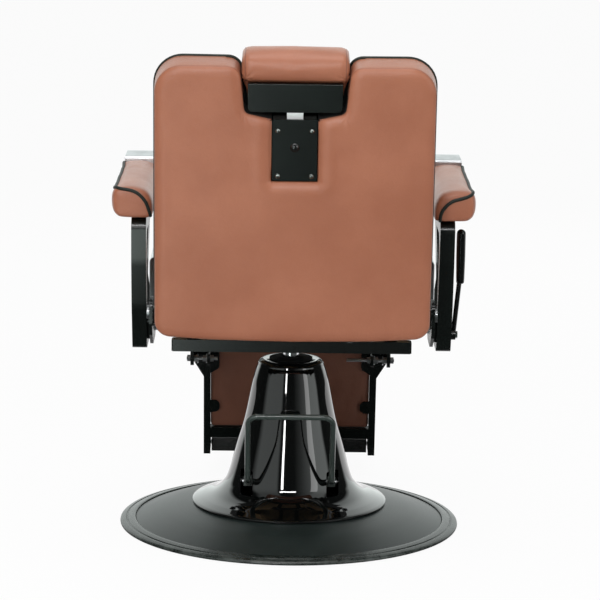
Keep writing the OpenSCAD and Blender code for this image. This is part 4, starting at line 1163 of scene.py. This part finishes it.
def screwHead(name, radius, height, finish, recess):  # a domed head on Z with a cross or a hexagon sunk in it
    rings, turns = 16, 48
    verts, faces = [(0, 0, 0)], []
    profile = [(radius * k / rings, height * (1 - 0.86 * (k / rings) ** 2.6)) for k in range(1, rings + 1)]
    profile.append((radius, 0))
    for r, z in profile:
        for k in range(turns):
            a = 2 * math.pi * k / turns
            verts.append((r * math.cos(a), r * math.sin(a), z))
    verts[0] = (0, 0, height)
    sunk = []
    for x, y, z in verts:
        if recess == "cross":
            arm = radius * 0.11
            deep = min(1, max(0, (arm - min(abs(x), abs(y))) / (arm * 0.4) + 0.6))
            deep *= 1 if max(abs(x), abs(y)) < radius * 0.56 else 0
        else:
            reach = max(abs(x), abs(x) / 2 + abs(y) * 0.866)
            deep = 1 if reach < radius * 0.5 else 0
        sunk.append((x, y, z - deep * height * 0.55 if z > 0 else z))
    faces += [(0, 1 + k, 1 + (k + 1) % turns) for k in range(turns)]
    for i in range(len(profile) - 1):
        for k in range(turns):
            a, b = 1 + i * turns + k, 1 + i * turns + (k + 1) % turns
            faces.append((a, a + turns, b + turns, b))
    faces.append(tuple(len(verts) - turns + k for k in reversed(range(turns))))
    return creased(newPiece(name, sunk, faces, finish), 40)


def makeScrews(look):
    head = screwHead("head", look["radius"], look["height"], "darkSteel", "cross")
    places = [inBack((s * look["coverX"], look["faceY"] - 0.1, z)) for s in (-1, 1) for z in look["coverZ"]]
    points = pathPiece("coverScrews", places)
    facing = backTilt @ Vector((0, 1, 0))
    grown(points, "fixing", Screw=head, Facing=tuple(facing), Seed=7, Finish=finishes["darkSteel"])
    rides(points, "backrest", "steel_plain", "guide_cover_screws")
    bpy.data.objects.remove(head)
    head = screwHead("head", look["lockRadius"], look["lockHeight"], "glossBlack", "hexagon")
    point = pathPiece("lockScrew", [inBack((0, look["faceY"] - 0.1, look["lockZ"]))])
    grown(point, "fixing", Screw=head, Facing=tuple(facing), Seed=3, Finish=finishes["glossBlack"])
    rides(point, "backrest", "bar_black", "headrest_screw")
    bpy.data.objects.remove(head)


makeScrews(screws)


# rigid pieces that keep the frame's own shape, with broken edges

dressed = {
    # node: edge radius in mm
    "floor_ring": 0.8, "base_plate": 1.0, "pump_cylinder": 0.8, "pump_gland": 0.6, "pump_block": 0.8,
    "pump_foot_bolts": 0.4, "pump_bar_hubs": 0.8, "pump_shaft": 0.5, "pump_rocker": 0.6, "pump_plunger": 0.4,
    "ram": 0.5, "ram_piston": 0.4, "swivel_socket": 1.2, "socket_bolts": 0.4, "seat_frame": 1.6, "frame_caps": 1.2,
    "board_spacers": 1.0, "seat_board": 0.8, "side_plates": 0.9, "side_trims": 2.2, "back_pivot_pins": 0.5,
    "leg_brackets": 0.8, "leg_pivot_bolts": 0.4, "arm_frame_left": 6.5, "arm_frame_right": 6.5, "arm_bars": 0.8,
    "arm_bolts": 0.4, "arm_caps": 1.6, "lever_bolt": 0.4, "strut_cylinder": 0.5, "strut_rod": 0.4,
    "recline_lever": 0.6, "lever_grip": 0.3, "link_rods": 0.4, "back_frame": 0.7,
    "back_board": 0.5, "headrest_guide": 0.6, "guide_cover": 0.7, "headrest_post": 0.4, "headrest_plate": 1.4,
    "leg_rest_frame": 1.3, "leg_frame_bolts": 0.4, "footrest": 1.8, "footrest_tread": 0.5, "footrest_pins": 0.3,
}
# the hubs and the lever bolt take the grey bar paint with its painted sheen
finishOfNode = {"back_board": "backCloth", "headrest_post": "postSteel", "pump_bar_hubs": "barSatin",
                "lever_bolt": "barSatin"}


def camel(name):
    first, *rest = name.split("_")
    return first + "".join(word.capitalize() for word in rest)


def dress(node, edge):
    source = nodes[node]
    mesh = source.data.copy()
    mesh.materials.clear()
    slot = slotOfNode[node]
    mesh.materials.append(finishes[finishOfNode.get(node, finishOfSlot[slot])])
    bm = bmesh.new()
    bm.from_mesh(mesh)
    bmesh.ops.remove_doubles(bm, verts=bm.verts, dist=2e-6)
    bmesh.ops.dissolve_limit(bm, angle_limit=math.radians(0.8), verts=bm.verts, edges=bm.edges)
    for face in bm.faces:
        face.material_index = 0
    bm.to_mesh(mesh)
    bm.free()
    mesh.shade_smooth()
    if "custom_normal" in mesh.attributes:
        mesh.attributes.remove(mesh.attributes["custom_normal"])
    piece = bpy.data.objects.new(camel(node), mesh)
    scene.collection.objects.link(piece)
    modified(piece, "BEVEL", width=edge * mm, segments=3, limit_method="ANGLE", angle_limit=math.radians(34),
             use_clamp_overlap=True, harden_normals=False, miter_outer="MITER_ARC")
    settle(piece)
    creased(piece, 38)
    modified(piece, "WEIGHTED_NORMAL", keep_sharp=True, weight=60)
    settle(piece)
    rides(piece, body_of(source)[0], slot, node)


for node, edge in dressed.items():
    dress(node, edge)
print("rigid pieces dressed:", len(dressed))


# floor, light and camera

studio = {
    "floor": (226, 226, 226), "floorSize": 14.0, "floorGlow": 0.94, "ambient": 0.47,
    "floorDark": (0.03, 0.036, 0.033, 1), "floorPaintedHighlight": (4.2, 4.8, 4.6, 1),  # painted reflection and painted highlight, seen only in reflections: a dark floor, and a glowing patch that paints a highlight on the left arm upright
    "lamps": [  # place, aim, width, height in metres, and brightness
        ("leftStrip", (0.98, 4.08, 1.60), (0, 0, 0.45), 0.30, 1.2, 24),
        ("spot", (1.12, 3.90, 3.05), (0, 0, 0.2), 0.40, 0.40, 26),
        ("backSoftbox", (0.15, 4.6, 3.3), (0, 0.3, 0.7), 2.4, 0.45, 22),
        ("leftFill", (1.2, 1.7, 1.9), (0.15, 0.3, 0.85), 0.6, 0.6, 5),
        ("rightPanel", (-2.9, 2.6, 1.5), (0, 0, 0.6), 0.9, 2.0, 2.0),
        ("overhead", (0.1, 0.5, 3.1), (0, 0.1, 0.5), 1.9, 1.7, 3.0),
        ("frontFill", (-0.6, -3.6, 2.0), (0, 0, 0.5), 1.8, 1.8, 1.6),
    ],
    "unmirrored": ("leftFill", "frontFill"),
    "room": [  # brightness in reflections, by the direction in degrees (left is positive)
        (-180, 1.25), (-134, 1.25), (-124, 0.04), (-86, 0.04), (-80, 1.3), (-56, 1.3), (-44, 0.7), (-24, 0.25),
        (-10, 0.04), (20, 0.03), (25, 0.7), (68, 0.7), (80, 0.03), (124, 0.03), (134, 1.3), (180, 1.25)],
    "camera": {"place": (0.026, 5.758, 1.510), "pitch": 10.44, "yaw": -0.42, "roll": 0.81, "focal": 2978, "frame": 600},
}


def makeStudio(look):
    size = look["floorSize"]
    corners = [(-size, -size, 0), (size, -size, 0), (size, size, 0), (-size, size, 0)]
    floor = newPiece("studioFloor", corners, [(0, 1, 2, 3)], "birchPly", False, 1.0)
    floor.location.z = -0.0002
    f = Finish("studioFloor", roughness=0.9, specular=0.1)
    f.put("Base Color", f.mixed(f.noise(0.6, 2), rgb(*look["floor"]), rgb(*[c - 3 for c in look["floor"]])))
    path = f.add("ShaderNodeLightPath", out="Is Camera Ray")
    glossy = f.other(path, "Is Glossy Ray")
    seen = path.math("MAXIMUM", glossy).math("MAXIMUM", f.other(path, "Is Transmission Ray"))
    x, y = f.axis("X"), f.axis("Y")
    # painted reflection: in reflections the floor behind the chair is dark, but for a glowing patch on the left that
    # paints a highlight on the left arm upright
    paintedDarkMask = y.ramp(-0.2, 0.25) * glossy
    paintedHighlightMask = x.ramp(0.31, 0.37) * x.ramp(0.55, 0.95, 1.0, 0.0) * y.ramp(0.5, 1.9) * glossy
    tone = f.mixed(paintedHighlightMask, f.mixed(paintedDarkMask, (1, 1, 1, 1), look["floorDark"]), look["floorPaintedHighlight"])
    glow = f.add("ShaderNodeEmission", None, {"Color": tone, "Strength": 1.0})
    blend = f.add("ShaderNodeMixShader", None, {0: seen * look["floorGlow"], 1: Value(f, f.surface.outputs[0]),
                                                2: glow})
    f.feed(f.result.inputs[0], blend)
    floor.data.materials.clear()
    floor.data.materials.append(f.material)

    world = bpy.data.worlds.new("studio")
    scene.world = world
    world.use_nodes = True
    w = Graph(world.node_tree)
    w.tree.nodes.clear()
    path = w.add("ShaderNodeLightPath", out="Is Camera Ray")
    glossy = w.other(path, "Is Glossy Ray")
    direction = w.add("ShaderNodeTexCoord", out="Generated")
    side = w.add("ShaderNodeSeparateXYZ", None, {0: direction}, 0)
    turn = side.math("ARCTAN2", w.other(side, "Y")) * (0.5 / math.pi) + 0.5
    top = max(b for _, b in look["room"])
    stops = [((a + 180) / 360, (b / top, b / top, b / top, 1)) for a, b in look["room"]]
    room = w.add("ShaderNodeValToRGB", {"stops": stops}, {0: turn})
    high = w.other(side, "Z").ramp(0.35, 0.9) * 0.45
    room = room * top * (1.0 - high)
    shown = path.math("MAXIMUM", w.other(path, "Is Transmission Ray"))
    level = w.add("ShaderNodeMix", {"data_type": "FLOAT"}, {0: glossy, 2: look["ambient"], 3: room}, 0)
    level = w.add("ShaderNodeMix", {"data_type": "FLOAT"}, {0: shown, 2: level, 3: 1.0}, 0)
    tint = w.add("ShaderNodeMix", {"data_type": "RGBA"}, {0: glossy, 6: (1, 1, 1, 1), 7: (0.94, 1.0, 0.98, 1)}, 2)
    light = w.add("ShaderNodeBackground", None, {"Color": tint, "Strength": level})
    w.feed(w.tree.nodes.new("ShaderNodeOutputWorld").inputs[0], light)

    for name, place, aim, width, tall, bright in look["lamps"]:
        lamp = bpy.data.lights.new(name, "AREA")
        lamp.shape, lamp.size, lamp.size_y = "RECTANGLE", width, tall
        lamp.energy = bright * math.pi * width * tall
        thing = bpy.data.objects.new(name, lamp)
        thing.location = place
        thing.rotation_euler = (Vector(aim) - Vector(place)).to_track_quat("-Z", "Y").to_euler()
        thing.visible_camera = False
        thing.visible_glossy = name not in look["unmirrored"]
        scene.collection.objects.link(thing)

    c = look["camera"]
    pitch, yaw, roll = (math.radians(c[k]) for k in ("pitch", "yaw", "roll"))
    ahead = Vector((math.sin(yaw) * math.cos(pitch), -math.cos(yaw) * math.cos(pitch), -math.sin(pitch)))
    right = Vector((-math.cos(yaw), -math.sin(yaw), 0))
    up = right.cross(ahead)
    rightNow = right * math.cos(roll) + up * math.sin(roll)
    upNow = up * math.cos(roll) - right * math.sin(roll)
    data = bpy.data.cameras.new("camera")
    data.sensor_width, data.sensor_fit = 36.0, "HORIZONTAL"
    data.lens = c["focal"] / c["frame"] * 36.0
    data.clip_end = 60
    camera = bpy.data.objects.new("camera", data)
    matrix = Matrix((rightNow, upNow, -ahead)).transposed().to_4x4()
    matrix.translation = Vector(c["place"])
    camera.matrix_world = matrix
    scene.collection.objects.link(camera)
    scene.camera = camera
    scene.view_settings.view_transform = "Standard"


makeStudio(studio)
print("studio made")
